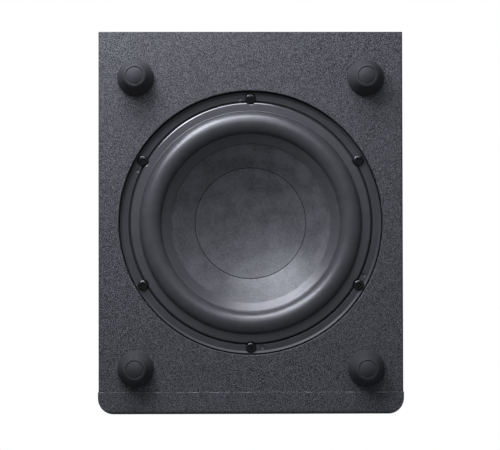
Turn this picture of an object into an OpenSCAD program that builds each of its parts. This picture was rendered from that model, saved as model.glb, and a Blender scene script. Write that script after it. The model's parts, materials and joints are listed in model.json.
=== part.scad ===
// Down-firing active subwoofer: a sealed board cabinet on four rubber feet, with an 8-inch driver let
// into its underside and a plate amplifier in its back. All sizes are in millimetres.
// Frame: the origin is on the floor under the driver's axis, +Z is up, the front panel faces -Y and
// the amplifier faces +Y. The driver looks down, towards -Z.

/* [Cabinet] */
// Width of the board sleeve
sleeve_w = 262; // [256:1:300]
// Depth of the board sleeve, without the front panel
sleeve_d = 310; // [304:2:360]
// Height of the board sleeve
sleeve_h = 360; // [350:2:420]
// Thickness of the sleeve's boards and of the rear panel
board = 18; // [16:1:19]
// Rounding of the sleeve's long outer edges
edge_r = 1.6; // [0.5:0.1:4]
// Thickness of the front panel
front_t = 19; // [16:1:25]
// How far the front panel stands proud of the sleeve all round
front_lip = 0.4; // [0:0.1:1]
// Radius of the front panel's upright corners
front_r = 14; // [4:1:15]
// Depth of the rear panel behind the sleeve's back edge
rear_inset = 8; // [4:1:14]
// Thickness of the brace between the side boards
brace_t = 18; // [12:1:24]

/* [Feet] */
// Height of the rubber feet
foot_h = 20; // [16:1:30]
// Radius of a foot where it meets the cabinet
foot_r = 15.6; // [14:0.2:20]
// Distance of the feet from the middle plane, sideways
foot_x = 99; // [92:1:106]
// Distance of the feet from the middle plane, front to back
foot_y = 125; // [118:1:132]

/* [Driver] */
// Outer radius of the driver's flange
flange_r = 112.2; // [111:0.2:113]
// Depth of the rebate that the flange sits in
rebate_depth = 9; // [8:0.5:9]
// Radius of the circle that the driver's screws lie on
screw_circle_r = 107.5; // [107:0.1:108]
// Number of driver screws
screw_count = 6; // [3:1:8]
// Height of the surround's half roll
roll_h = 7.5; // [5:0.5:8.5]
// Radius of the dust cap
cap_r = 48.1; // [36:0.1:60]
// Depth of the dust cap's hollow
cap_sag = 9; // [5:0.5:10]
// Angle of the cone to the flange's plane
cone_angle = 32; // [30:0.5:33]
// Outer radius of the magnet
magnet_r = 60; // [54:1:66]
// Thickness of the magnet
magnet_t = 20; // [15:1:24]

/* [Amplifier] */
// Width of the amplifier's plate
plate_w = 200; // [196:2:210]
// Height of the amplifier's plate
plate_h = 210; // [206:2:220]
// Thickness of the amplifier's plate
plate_t = 2.5; // [2:0.5:3]
// Depth of the cover behind the plate
cover_depth = 70; // [66:1:72]
// Outer radius of the toroidal transformer
toroid_r = 38; // [32:1:38]
// Radius of the control knobs
knob_r = 11; // [9:0.5:14]
// Outer radius of the RCA socket shells
rca_r = 4.15; // [4:0.05:4.3]

/* [Hidden] */
$fn = 48;

// Places along the axes
total_d = sleeve_d + front_t;
y_front = -total_d / 2;
y_seam = y_front + front_t;
y_back = total_d / 2;
z_bot = foot_h;
z_top = foot_h + sleeve_h;
z_mid = (z_bot + z_top) / 2;
inner_x = sleeve_w / 2 - board;
eps = 0.01;
cut = 1;         // how far a cutting tool runs past a face
gap = 0.05;      // a glue line, or the play of a pin in its hole
glue = 0.15;     // a glue line between two curved faces
side_r = 3;      // rounding of the front panel's top and bottom edges

// Driver: heights are measured up from the floor, into the box
z_seat = z_bot + rebate_depth;               // floor of the rebate
z_flange = z_seat - 3.6;                     // face of the flange
z_ledge = z_flange + 1.2;                    // face of the ledge that carries the surround
sheet = 1.6;                                 // thickness of the pressed frame
rebate_r = flange_r + 1.6;
mouth_bevel = 0.5;                           // bevel around the rebate's mouth
hole_r = 95.5;                               // hole in the bottom panel for the frame
bead_r = [104, 105.2];                       // raised bead around the ledge
lip_r = 103.5;                               // outer edge of the surround
trim_r = [97, 103.6];
trim_t = 1.2;
head_r = 4.6;
head_h = 2.4;
spare_hole_r = 2.3;                          // unused holes beside four of the screws
spare_hole_turn = -5.1;                      // their angle from the screw
spare_hole_at = [0, 1, 3, 4];
roll_r = [77.7, 95.8];                       // inner and outer foot of the half roll
roll_t = 1;
cone_r = 76;
cone_t = 0.9;
cone_z = z_ledge + 1.4;                      // height of the cone's face at its rim
cone_slope = tan(cone_angle);
lip_in_r = 69.6;                             // inner edge of the surround on the cone
former_r = [25.4, 25.8];
coil_r = 26.8;
spider_r = 65.8;
z_spider = z_bot + 46;
z_plate = z_bot + 62;                        // front of the motor's top plate
top_plate_t = 8;
coil_len = 24;
pole_r = 24.4;
vent_r = 8;
yoke_t = 7;
yoke_r = 50;
z_magnet = z_plate + top_plate_t;
z_yoke = z_magnet + magnet_t;
window_count = 6;
window_deg = 40;
strip_y = [60, 80];                          // the terminal strip on the back of the frame
tab_x = 6;
tab_y = 75;

// Amplifier: measured from the plate's outer face, which is flush with the rear panel
y_face = y_back - rear_inset;
gasket_t = 1.5;
z_amp = z_bot + 215;                         // middle of the plate
cover_w = 168;
cover_h = 182;
cover_t = 1.2;
cutout_w = cover_w + 6;
cutout_h = cover_h + 6;
plate_screw_x = plate_w / 2 - 6;
plate_screw_z = plate_h / 2 - 6;
knob_z = z_amp + 55;
knob_x = 38;
switch_z = z_amp + 13;
rca_z = z_amp - 20;
rca_x = 7;
mains_z = z_amp - 75;
rocker_x = 38;
inlet_x = -20;
inlet_pin_x = 4.3;
led_z = z_amp + 83;
toroid_x = 30;
toroid_z = z_amp - 50;
toroid_t = 34;
board_gap = 23.5;                            // from the back of the plate to the circuit board
board_t = 1.6;
grommet_x = -60;
grommet_z = z_amp - 65;
bush_r = 3.5;
shaft_r = 3;
lever_travel = 4;
rocker_tilt = 8;
rocker_pivot = -2.5;

// Points of an arc in a plane, from one angle to another
function arc(c, r, a0, a1, n) = [for (i = [0:n]) let (a = a0 + (a1 - a0) * i / n) c + r * [cos(a), sin(a)]];

// Outline of a rectangle with round corners
function round_rect(w, h, r, n = 4) = [
    for (k = [0:3])
        let (sx = (k == 0 || k == 3) ? 1 : -1, sy = k < 2 ? 1 : -1)
            each arc([sx * (w / 2 - r), sy * (h / 2 - r)], r, 90 * k, 90 * k + 90, n)
];

// Points of a smooth curve through the given points
function curve_at(p, i, t) =
    let (
        a = p[max(i - 1, 0)],
        b = p[i],
        c = p[i + 1],
        d = p[min(i + 2, len(p) - 1)]
    )
    0.5 * (2 * b + (c - a) * t + (2 * a - 5 * b + 4 * c - d) * t * t + (3 * b - a - 3 * c + d) * t * t * t);
function curve(p, n) = [for (i = [0:len(p) - 2], k = [0:n - 1]) curve_at(p, i, k / n), p[len(p) - 1]];

// Height of the cone's face at a radius
function cone_face(r) = cone_z + (cone_r - r) * cone_slope;

// A box between two corners
module block(lo, hi) {
    translate(lo)
        cube(hi - lo);
}

// A tube of round section swept along a smooth path. Its rings are square to the path.
module tube(path, r, sides = 8) {
    last = len(path) - 1;
    dirs = [for (i = [0:last]) let (d = path[min(i + 1, last)] - path[max(i - 1, 0)]) d / norm(d)];
    rings = [
        for (i = [0:last])
            let (u = cross(dirs[i], [1, 0.3, 0]), un = u / norm(u), v = cross(dirs[i], un))
                for (k = [0:sides - 1])
                    path[i] + r * (cos(360 * k / sides) * un + sin(360 * k / sides) * v)
    ];
    sides_f = [
        for (i = [0:last - 1], k = [0:sides - 1])
            let (a = i * sides + k, b = i * sides + (k + 1) % sides)
                each [[a, a + sides, b], [b, a + sides, b + sides]]
    ];
    ends_f = [
        [for (k = [0:sides - 1]) k],
        [for (k = [sides - 1:-1:0]) last * sides + k]
    ];
    polyhedron(rings, concat(sides_f, ends_f));
}

// Draws its children on the amplifier's plate, with +Z pointing out of the cabinet's back
module on_plate(x, z) {
    translate([x, y_face, z])
        rotate([-90, 0, 0])
            children();
}

// One of the driver's screw places
module at_screws(which, turn = 0) {
    for (i = which)
        rotate(30 + i * 360 / screw_count + turn)
            translate([screw_circle_r, 0, 0])
                children();
}

// The amplifier plate's screw places
module at_plate_screws() {
    for (sx = [-1, 1], k = [-2:2])
        on_plate(sx * plate_screw_x, z_amp + k * plate_screw_z / 2)
            children();
}

// The feet's places
module at_feet() {
    for (sx = [-1, 1], sy = [-1, 1])
        translate([sx * foot_x, sy * foot_y, 0])
            children();
}

// A pan-head screw standing on the plane z = 0, with a cross recess in its head and its shank below
module pan_screw(r, h, shank_r, shank, turn = 0) {
    rim = 0.3 * h;
    ball = (r * r + (h - rim) * (h - rim)) / (2 * (h - rim));
    recess = 0.95 * r;
    difference() {
        union() {
            rotate_extrude()
                polygon(concat([[0, 0], [r, 0]], arc([0, h - ball], ball, acos(r / ball), 90, 6)));
            translate([0, 0, -shank])
                cylinder(r = shank_r, h = shank + eps);
        }
        for (a = [0, 90])
            rotate(turn + a)
                translate([-recess / 2, -recess / 8, 0.45 * h])
                    cube([recess, recess / 4, h]);
    }
}

// ---- Cabinet ----

// End view of a mitred board with its outer face along y = 0
module board_profile(length) {
    polygon(concat(
        arc([length / 2 - edge_r, edge_r], edge_r, -90, -45, 3),
        [[length / 2 - board, board], [board - length / 2, board]],
        arc([edge_r - length / 2, edge_r], edge_r, 225, 270, 3)
    ));
}

// One board of the sleeve, placed and turned in the plane across the cabinet
module sleeve_board(pos, turn, length) {
    translate([0, y_back, 0])
        rotate([90, 0, 0])
            linear_extrude(sleeve_d)
                translate(pos)
                    rotate(turn)
                        board_profile(length);
}

module bottom_panel() {
    color("#3c3c42")
        difference() {
            sleeve_board([0, z_bot], 0, sleeve_w);
            translate([0, 0, z_bot - cut])
                cylinder(r = rebate_r, h = rebate_depth + cut);
            translate([0, 0, z_bot - eps])
                cylinder(r1 = rebate_r + mouth_bevel + eps, r2 = rebate_r, h = mouth_bevel + eps);
            translate([0, 0, z_bot])
                cylinder(r = hole_r, h = board + cut);
            at_screws([0:screw_count - 1])
                translate([0, 0, z_seat - cut])
                    cylinder(r = 1.8, h = board);
            at_feet()
                translate([0, 0, z_bot - cut])
                    cylinder(r = 3 + gap, h = 15 + cut);
        }
}

module top_panel() {
    color("#3c3c42")
        sleeve_board([0, z_top], 180, sleeve_w);
}

module left_panel() {
    color("#3a3a40")
        sleeve_board([-sleeve_w / 2, z_mid], -90, sleeve_h);
}

module right_panel() {
    color("#3a3a40")
        sleeve_board([sleeve_w / 2, z_mid], 90, sleeve_h);
}

module front_panel() {
    half_w = sleeve_w / 2 + front_lip;
    z0 = z_bot - front_lip;
    z1 = z_top + front_lip;
    color("#38383c")
        intersection() {
            translate([0, 0, z0])
                linear_extrude(z1 - z0)
                    polygon(concat(
                        [[half_w, y_seam], [-half_w, y_seam]],
                        arc([front_r - half_w, y_front + front_r], front_r, 180, 270, 12),
                        arc([half_w - front_r, y_front + front_r], front_r, 270, 360, 12)
                    ));
            translate([-half_w - cut, 0, 0])
                rotate([90, 0, 90])
                    linear_extrude(2 * (half_w + cut))
                        polygon(concat(
                            [[y_seam + cut, z1], [y_seam + cut, z0]],
                            arc([y_front + side_r, z0 + side_r], side_r, 270, 180, 4),
                            arc([y_front + side_r, z1 - side_r], side_r, 180, 90, 4)
                        ));
        }
}

module rear_panel() {
    color("#2e2e32")
        difference() {
            block([-inner_x, y_face - board, z_bot + board], [inner_x, y_face, z_top - board]);
            block(
                [-plate_w / 2 - 1, y_face - plate_t - gasket_t, z_amp - plate_h / 2 - 1],
                [plate_w / 2 + 1, y_face + cut, z_amp + plate_h / 2 + 1]
            );
            block(
                [-cutout_w / 2, y_face - board - cut, z_amp - cutout_h / 2],
                [cutout_w / 2, y_face + cut, z_amp + cutout_h / 2]
            );
            at_plate_screws()
                translate([0, 0, -board - cut])
                    cylinder(r = 1.65, h = board);
        }
}

module brace() {
    color("#a98f68")
        block([-inner_x, -60, z_mid + 25], [inner_x, -15, z_mid + 25 + brace_t]);
}

// ---- Feet ----

// A rubber foot with a convex middle, a groove around it and a flat ring that stands on the floor
module rubber_foot(x, y) {
    ring_in = 8;
    ring_out = 9.2;
    shoulder = 2.4;
    color("#1d1d20")
        translate([x, y, 0])
            difference() {
                rotate_extrude()
                    polygon(concat(
                        [[0, foot_h], [0, 0.4], [3.4, 0.6], [5.6, 1.0], [6.8, 1.5], [7.2, 2.0], [7.7, 2.0]],
                        [[ring_in, 0.2], [ring_in + 0.2, 0], [ring_out, 0]],
                        arc([ring_out, shoulder], shoulder, -70, -20, 4),
                        arc([foot_r - 3, foot_h - 4], 3, -12, 0, 2),
                        [[foot_r, foot_h]]
                    ));
                translate([0, 0, 6])
                    cylinder(r = 3 + gap, h = foot_h);
            }
}

module foot_front_left() {
    rubber_foot(-foot_x, -foot_y);
}

module foot_front_right() {
    rubber_foot(foot_x, -foot_y);
}

module foot_rear_left() {
    rubber_foot(-foot_x, foot_y);
}

module foot_rear_right() {
    rubber_foot(foot_x, foot_y);
}

// Threaded studs moulded into the feet and screwed into the bottom panel
module foot_studs() {
    color("silver")
        at_feet()
            translate([0, 0, 6])
                cylinder(r = 3, h = foot_h + 8);
}

// ---- Driver ----

// Pressed steel frame: flange with a rolled rim, bead and ledge, then a basket with windows
module driver_frame() {
    leg_z = [z_flange + 14.6, z_spider - 4];
    color("#2a2a2d")
        difference() {
            rotate_extrude($fn = 96)
                polygon([
                    [flange_r, z_flange - 0.4], [flange_r - 0.5, z_flange - 0.9],
                    [flange_r - 1.3, z_flange - 0.9], [flange_r - 1.9, z_flange],
                    [bead_r[1], z_flange], [bead_r[1] - 0.2, z_flange - 0.7],
                    [bead_r[0] + 0.2, z_flange - 0.7], [bead_r[0], z_flange - 0.5],
                    [bead_r[0], z_ledge], [93, z_ledge], [92.6, leg_z[0]], [spider_r + 0.6, leg_z[1]],
                    [spider_r + 0.6, z_spider], [57.6, z_spider], [54, z_plate - 2], [28, z_plate - 2],
                    [28, z_plate], [56.2, z_plate], [59.2, z_spider + sheet],
                    [spider_r + 2.2, z_spider + sheet], [spider_r + 2.2, leg_z[1] + 0.7],
                    [94.2, leg_z[0] + 0.7], [94.2, z_ledge + sheet], [bead_r[1] + 0.4, z_ledge + sheet],
                    [bead_r[1] + 0.4, z_flange + sheet], [flange_r, z_flange + sheet]
                ]);
            for (i = [0:window_count - 1])
                rotate(30 - window_deg / 2 + i * 360 / window_count)
                    rotate_extrude(angle = window_deg)
                        translate([spider_r - 3, leg_z[0] + 2])
                            square([hole_r - spider_r + 8, leg_z[1] - leg_z[0] - 3.5]);
            at_screws([0:screw_count - 1])
                translate([0, 0, z_flange - cut])
                    cylinder(r = 2.4, h = sheet + 2 * cut);
            at_screws([0:screw_count - 1])
                translate([0, 0, z_flange - 3])
                    cylinder(r = head_r + 0.4, h = 3);
            at_screws(spare_hole_at, spare_hole_turn)
                translate([0, 0, z_flange - cut])
                    cylinder(r = spare_hole_r, h = sheet + 2 * cut);
        }
}

// Foam ring between the flange and the floor of the rebate
module driver_gasket() {
    color("#151517")
        difference() {
            translate([0, 0, z_flange + sheet])
                cylinder(r = flange_r - 0.3, h = z_seat - z_flange - sheet, $fn = 96);
            translate([0, 0, z_flange])
                cylinder(r = bead_r[1] + 0.7, h = 9, $fn = 96);
            at_screws([0:screw_count - 1])
                translate([0, 0, z_flange])
                    cylinder(r = 2, h = 9);
        }
}

module driver_screws() {
    color("#101012")
        at_screws([0:screw_count - 1])
            translate([0, 0, z_flange])
                rotate([180, 0, 0])
                    pan_screw(head_r, head_h, 1.75, 12.5, 22);
}

// Flat ring glued over the surround's outer edge, scalloped around the screw heads
module trim_ring() {
    color("#3c3c40")
        difference() {
            translate([0, 0, z_ledge - 1 - trim_t])
                cylinder(r = trim_r[1], h = trim_t, $fn = 96);
            translate([0, 0, z_ledge - 1 - trim_t - cut])
                cylinder(r = trim_r[0], h = trim_t + 2 * cut, $fn = 96);
            at_screws([0:screw_count - 1])
                translate([0, 0, z_flange - 4])
                    cylinder(r = head_r + 0.5, h = 8);
        }
}

// Rubber surround: outer lip, half roll towards the floor, and a lip glued on the cone's face
module surround() {
    roll_c = (roll_r[0] + roll_r[1]) / 2;
    half_w = (roll_r[1] - roll_r[0]) / 2;
    arc_r = (half_w * half_w + roll_h * roll_h) / (2 * roll_h);
    z_chord = z_ledge - roll_t / 2;
    centre = [roll_c, z_chord - roll_h + arc_r];
    r_out = arc_r + roll_t / 2;
    r_in = arc_r - roll_t / 2;
    top = z_ledge - gap;
    low = z_ledge - roll_t + gap;
    a_out = asin((low - centre[1]) / r_out);
    a_in = asin((top - centre[1]) / r_in);
    inner_a = -180 + asin((centre[1] - z_ledge - 0.5) / r_out);
    color("#222224")
        rotate_extrude($fn = 96)
            polygon(concat(
                [[lip_r, low], [lip_r, top], [centre[0] + r_in * cos(a_in), top]],
                arc(centre, r_in, a_in, -180 - a_in + 8, 14),
                [[cone_r + 0.9, cone_face(cone_r) + 0.8], [cone_r + 0.3, cone_face(cone_r + 0.3) - glue]],
                [[lip_in_r, cone_face(lip_in_r) - glue], [lip_in_r - 0.3, cone_face(lip_in_r) - 0.8]],
                [[cone_r, cone_face(cone_r) - 1.1], [cone_r + 0.6, cone_face(cone_r) - 0.7]],
                arc(centre, r_out, inner_a, a_out, 14)
            ));
}

module cone() {
    neck = former_r[1] + gap;
    back = cone_t / cos(cone_angle);
    color("#2c2c2e")
        rotate_extrude($fn = 96)
            polygon([
                [cone_r, cone_face(cone_r)], [cone_r, cone_face(cone_r) + back],
                [neck, cone_face(neck) + back], [neck, cone_face(neck)]
            ]);
}

// Dished cap glued on the cone's face, hollow towards the floor
module dust_cap() {
    cap_t = 0.8;
    ball_r = (cap_r * cap_r + cap_sag * cap_sag) / (2 * cap_sag);
    half_a = asin(cap_r / ball_r);
    rim_z = cone_face(cap_r) - glue;
    centre = [0, rim_z + cap_sag - ball_r];
    color("#303032")
        rotate_extrude($fn = 96)
            polygon(concat(
                arc(centre, ball_r, 90 - half_a, 90, 10),
                arc(centre, ball_r - cap_t, 90, 90 - half_a, 10)
            ));
}

module coil_former() {
    color("#8a6a3a")
        difference() {
            translate([0, 0, cone_face(former_r[1]) - 1.5])
                cylinder(r = former_r[1], h = z_magnet + 8.5 - cone_face(former_r[1]) + 1.5);
            translate([0, 0, cone_face(former_r[1]) - 3])
                cylinder(r = former_r[0], h = z_magnet + 40);
        }
}

module voice_coil() {
    color("#b5672d")
        translate([0, 0, z_plate + top_plate_t / 2 - coil_len / 2])
            difference() {
                cylinder(r = coil_r, h = coil_len);
                translate([0, 0, -cut])
                    cylinder(r = former_r[1] + gap, h = coil_len + 2 * cut);
            }
}

// Corrugated cloth spider between the former and the frame's inner ledge
module spider() {
    waves = 4;
    wave_r = [29, 55];
    steps = waves * 8;
    height = 1.5;
    cloth = 0.6;
    collar = former_r[1] + gap;
    wave = [
        for (i = [0:steps])
            [
                wave_r[0] + (wave_r[1] - wave_r[0]) * i / steps,
                z_spider - cloth / 2 + height * sin(360 * waves * i / steps)
            ]
    ];
    color("#a8905a")
        rotate_extrude($fn = 96)
            polygon(concat(
                [[collar, z_spider - 1.6], [collar + 0.6, z_spider - 1.6], [collar + 1, z_spider - cloth]],
                [for (p = wave) p - [0, cloth / 2]],
                [[spider_r, z_spider - cloth], [spider_r, z_spider]],
                [for (i = [steps:-1:0]) wave[i] + [0, cloth / 2]],
                [[collar, z_spider]]
            ));
}

module top_plate() {
    color("#b8b8bc")
        translate([0, 0, z_plate])
            difference() {
                cylinder(r = yoke_r + 2, h = top_plate_t, $fn = 96);
                translate([0, 0, -cut])
                    cylinder(r = coil_r + 0.6, h = top_plate_t + 2 * cut);
            }
}

module magnet() {
    color("#3a3a3a")
        translate([0, 0, z_magnet])
            difference() {
                cylinder(r = magnet_r, h = magnet_t, $fn = 96);
                translate([0, 0, -cut])
                    cylinder(r = coil_r + 4, h = magnet_t + 2 * cut);
            }
}

// Back plate and pole in one piece, with a vent through the middle
module t_yoke() {
    color("#b8b8bc")
        difference() {
            union() {
                translate([0, 0, z_yoke])
                    cylinder(r = yoke_r, h = yoke_t, $fn = 96);
                translate([0, 0, z_plate])
                    cylinder(r = pole_r, h = z_yoke - z_plate + cut);
            }
            translate([0, 0, z_plate - cut])
                cylinder(r = vent_r, h = z_yoke + yoke_t);
        }
}

module terminal_strip() {
    color("#6b4a2a")
        difference() {
            block([-13, strip_y[0], z_spider + sheet], [13, strip_y[1], z_spider + 2 * sheet]);
            for (sx = [-1, 1])
                block(
                    [sx * tab_x - 2.2, tab_y - 0.5, z_spider],
                    [sx * tab_x + 2.2, tab_y + 0.5, z_spider + 3 * sheet]
                );
        }
}

module terminal_tabs() {
    color("#c9a545")
        for (sx = [-1, 1])
            block(
                [sx * tab_x - 2.1, tab_y - 0.4, z_spider - 1],
                [sx * tab_x + 2.1, tab_y + 0.4, z_spider + 14]
            );
}

// Braided leads from the tabs through a window of the frame to the back of the cone
module tinsel_leads() {
    color("#c8843c")
        for (sx = [-1, 1])
            tube(curve([
                [sx * tab_x, tab_y, z_spider - 1.3],
                [sx * tab_x, tab_y - 1, z_spider - 5],
                [sx * (tab_x + 1), tab_y - 6, z_spider - 10],
                [sx * (tab_x + 1), tab_y - 14, z_spider - 12],
                [sx * tab_x, tab_y - 21, z_spider - 17]
            ], 4), 0.8);
}

// Leads from the amplifier to the driver's tabs
module speaker_leads() {
    top_z = z_spider + 14;
    cover_y = y_face - plate_t - cover_depth;
    color("#7d2222")
        for (sx = [-1, 1])
            tube(curve([
                [grommet_x + sx * 2, cover_y + 8, grommet_z],
                [grommet_x + sx * 2, cover_y - 3, grommet_z],
                [grommet_x + sx * 2, cover_y - 6, grommet_z],
                [-50 + sx * 2, 75, grommet_z - 14],
                [-32 + sx * 3, 74, grommet_z - 42],
                [-14 + sx * 5, 75, top_z + 20],
                [sx * tab_x, tab_y, top_z + 7],
                [sx * tab_x, tab_y, top_z + 0.5]
            ], 5), 1.3);
}

// Polyester lining stuck under the top
module damping_wadding() {
    color("#d8d8d4")
        block(
            [-inner_x + 3, y_seam + 4, z_top - board - 28],
            [inner_x - 3, y_face - board - 4, z_top - board]
        );
}

// ---- Amplifier ----

// Holes through the plate for the controls and sockets, in the plate's own plane
module plate_holes() {
    for (sx = [-1, 1]) {
        translate([sx * knob_x, -(knob_z - z_amp)])
            circle(r = bush_r + 0.1);
        translate([sx * knob_x, -(switch_z - z_amp)])
            square([2 * lever_travel + 0.2, lever_travel], center = true);
    }
    translate([0, -(led_z - z_amp)])
        circle(r = 1.6);
    translate([0, z_amp - rca_z])
        square([28.2, 12.2], center = true);
    translate([rocker_x, z_amp - mains_z])
        square([13.2, 19.2], center = true);
    translate([inlet_x, z_amp - mains_z])
        square([20.2, 12.2], center = true);
    for (sx = [-1, 1], k = [-2:2])
        translate([sx * plate_screw_x, k * plate_screw_z / 2])
            circle(r = 1.9);
}

module amp_plate() {
    color("#2b2b2e")
        on_plate(0, z_amp)
            translate([0, 0, -plate_t])
                linear_extrude(plate_t)
                    difference() {
                        polygon(round_rect(plate_w, plate_h, 5));
                        plate_holes();
                    }
}

module amp_gasket() {
    color("#121214")
        on_plate(0, z_amp)
            translate([0, 0, -plate_t - gasket_t])
                linear_extrude(gasket_t)
                    difference() {
                        polygon(round_rect(plate_w, plate_h, 5));
                        square([cutout_w + 2, cutout_h + 2], center = true);
                        for (sx = [-1, 1], k = [-2:2])
                            translate([sx * plate_screw_x, k * plate_screw_z / 2])
                                circle(r = 1.9);
                    }
}

module amp_screws() {
    color("#18181a")
        at_plate_screws()
            pan_screw(3.5, 2, 1.6, 16);
}

// Pressed tray over the amplifier's inside
module amp_back_cover() {
    color("#9a9ca0")
        on_plate(0, z_amp)
            difference() {
                translate([-cover_w / 2, -cover_h / 2, -plate_t - cover_depth])
                    cube([cover_w, cover_h, cover_depth]);
                translate([-cover_w / 2 + cover_t, -cover_h / 2 + cover_t, -plate_t - cover_depth + cover_t])
                    cube([cover_w - 2 * cover_t, cover_h - 2 * cover_t, cover_depth]);
                translate([grommet_x, z_amp - grommet_z, -plate_t - cover_depth - cut])
                    cylinder(r = 5.5, h = cover_t + 2 * cut);
                translate([toroid_x, z_amp - toroid_z, -plate_t - cover_depth - cut])
                    cylinder(r = 3.1, h = cover_t + 2 * cut);
            }
}

module cover_grommet() {
    color("#141414")
        on_plate(grommet_x, grommet_z)
            translate([0, 0, -plate_t - cover_depth - 2])
                rotate_extrude()
                    polygon([
                        [3.8, 0], [7.5, 0], [7.5, 2], [5.4, 2], [5.4, 2 + cover_t], [7.5, 2 + cover_t],
                        [7.5, 5], [3.8, 5]
                    ]);
}

module main_board() {
    color("#2f6b3f")
        on_plate(0, z_amp + 32)
            translate([-78, -55, -plate_t - board_gap - board_t])
                cube([156, 110, board_t]);
}

module board_standoffs() {
    color("#c9a545")
        for (sx = [-1, 1], dz = [-17, 81])
            on_plate(sx * 72, z_amp + dz)
                translate([0, 0, -plate_t - board_gap])
                    cylinder(r = 3, h = board_gap, $fn = 6);
}

// Stands its children on the inner side of the circuit board
module on_board(x, z) {
    on_plate(x, z)
        translate([0, 0, -plate_t - board_gap - board_t])
            mirror([0, 0, 1])
                children();
}

module capacitors() {
    color("#1e2f52") {
        for (x = [-60, -34, -8])
            on_board(x, z_amp + 60)
                cylinder(r = 11, h = 30);
        for (x = [-66, -50])
            on_board(x, z_amp + 30)
                cylinder(r = 5, h = 13);
    }
}

module board_components() {
    color("#26262a") {
        on_board(-24, z_amp + 30)
            translate([-14, -7, 0])
                cube([28, 14, 15]);
        on_board(10, z_amp + 34)
            difference() {
                cylinder(r = 11, h = 9);
                translate([0, 0, -cut])
                    cylinder(r = 5, h = 11);
            }
    }
}

module heatsink() {
    fins = 8;
    color("#b9bcc0")
        on_board(48, z_amp + 50)
            union() {
                translate([-26, -30, 0])
                    cube([52, 60, 4]);
                for (i = [0:fins - 1])
                    translate([-26 + i * (52 - 1.6) / (fins - 1), -30, 4 - eps])
                        cube([1.6, 60, 24]);
            }
}

// Places its children at the transformer's axis, measured up from the inside of the cover
module at_toroid() {
    on_plate(toroid_x, toroid_z)
        translate([0, 0, -plate_t - cover_depth + cover_t])
            children();
}

module transformer() {
    edge = 6;
    hole = 12;
    color("#c59a3c")
        at_toroid()
            translate([0, 0, 2])
                rotate_extrude($fn = 96)
                    polygon(concat(
                        arc([toroid_r - edge, edge], edge, -90, 0, 4),
                        arc([toroid_r - edge, toroid_t - edge], edge, 0, 90, 4),
                        arc([hole + edge, toroid_t - edge], edge, 90, 180, 4),
                        arc([hole + edge, edge], edge, 180, 270, 4)
                    ));
}

// Rubber pads, dished washer and bolt that clamp the transformer to the cover
module transformer_mount() {
    top = toroid_t + 4;
    color("#55565a")
        at_toroid() {
            difference() {
                cylinder(r = toroid_r - 8, h = 2);
                translate([0, 0, -cut])
                    cylinder(r = 3.1, h = 4);
            }
            translate([0, 0, top - 2])
                difference() {
                    cylinder(r = toroid_r - 12, h = 2);
                    translate([0, 0, -cut])
                        cylinder(r = 3.1, h = 4);
                }
            translate([0, 0, top])
                difference() {
                    cylinder(r = toroid_r - 14, h = 1.6);
                    translate([0, 0, -cut])
                        cylinder(r = 3.1, h = 4);
                }
            translate([0, 0, top + 1.6])
                cylinder(r = 5, h = 4, $fn = 6);
            translate([0, 0, -4])
                cylinder(r = 3, h = top + 8);
        }
}

// Leads from the inlet to the rocker switch
module mains_leads() {
    tab_end = y_face - 26;
    color("#6a4a2a")
        for (sx = [-1, 1])
            tube(curve([
                [inlet_x + sx * inlet_pin_x, tab_end - 0.6, mains_z],
                [inlet_x + sx * inlet_pin_x + 1, tab_end - 3, mains_z - 2],
                [inlet_x + 22 + sx * 2, tab_end - 4, mains_z - 6 + sx * 2],
                [rocker_x - 8, tab_end - 4, mains_z - 3 + sx * 3],
                [rocker_x - 1, tab_end - 3, mains_z + sx * 5],
                [rocker_x, y_face - 22.6, mains_z + sx * 5]
            ], 4), 1.2);
}

// Outline of the inlet's figure-8 recess
module inlet_recess_outline() {
    for (sx = [-1, 1])
        translate([sx * inlet_pin_x, 0])
            circle(r = 4.1);
    square([2 * inlet_pin_x, 7], center = true);
}

module power_inlet() {
    color("#161618")
        on_plate(inlet_x, mains_z)
            difference() {
                union() {
                    linear_extrude(1.6)
                        polygon(round_rect(25, 17, 2));
                    translate([-10, -6, -18])
                        cube([20, 12, 18 + eps]);
                }
                translate([0, 0, -12])
                    linear_extrude(12 + 1.6 + cut)
                        inlet_recess_outline();
                for (sx = [-1, 1])
                    translate([sx * inlet_pin_x, 0, -18 - cut])
                        cylinder(r = 1.2 + gap, h = 18);
            }
}

module inlet_pins() {
    color("#c8c8cc")
        on_plate(inlet_x, mains_z)
            for (sx = [-1, 1])
                translate([sx * inlet_pin_x, 0, 0])
                    union() {
                        translate([0, 0, -20])
                            cylinder(r = 1.2, h = 18);
                        translate([-0.4, -2.4, -26])
                            cube([0.8, 4.8, 7]);
                    }
}

module rocker_housing() {
    color("#161618")
        on_plate(rocker_x, mains_z)
            difference() {
                union() {
                    linear_extrude(1.6)
                        polygon(round_rect(15, 22, 1.5));
                    translate([-6.5, -9.5, -14])
                        cube([13, 19, 14 + eps]);
                    for (sy = [-1, 1])
                        translate([-2.4, sy * 5 - 0.4, -22])
                            cube([4.8, 0.8, 9]);
                }
                translate([-4.8, -8, -9])
                    cube([9.6, 16, 11]);
                translate([-6.1, 0, rocker_pivot])
                    rotate([0, 90, 0])
                        cylinder(r = 1.2 + gap, h = 12.2);
            }
}

// Rocker with its pivot pins, resting with its upper half pressed
module power_rocker() {
    color("#232325")
        on_plate(rocker_x, mains_z)
            translate([0, 0, rocker_pivot])
                rotate([-rocker_tilt, 0, 0])
                    union() {
                        translate([-4.6, 0, 0])
                            rotate([90, 0, 90])
                                linear_extrude(9.2)
                                    polygon([
                                        [-7.1, 4.6], [-4.4, 3.6], [0, 3], [4.4, 3.6], [7.1, 4.6],
                                        [7.1, 1.6], [5, -2.6], [-5, -2.6], [-7.1, 1.6]
                                    ]);
                        translate([-6, 0, 0])
                            rotate([0, 90, 0])
                                cylinder(r = 1.2, h = 12);
                    }
}

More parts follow.
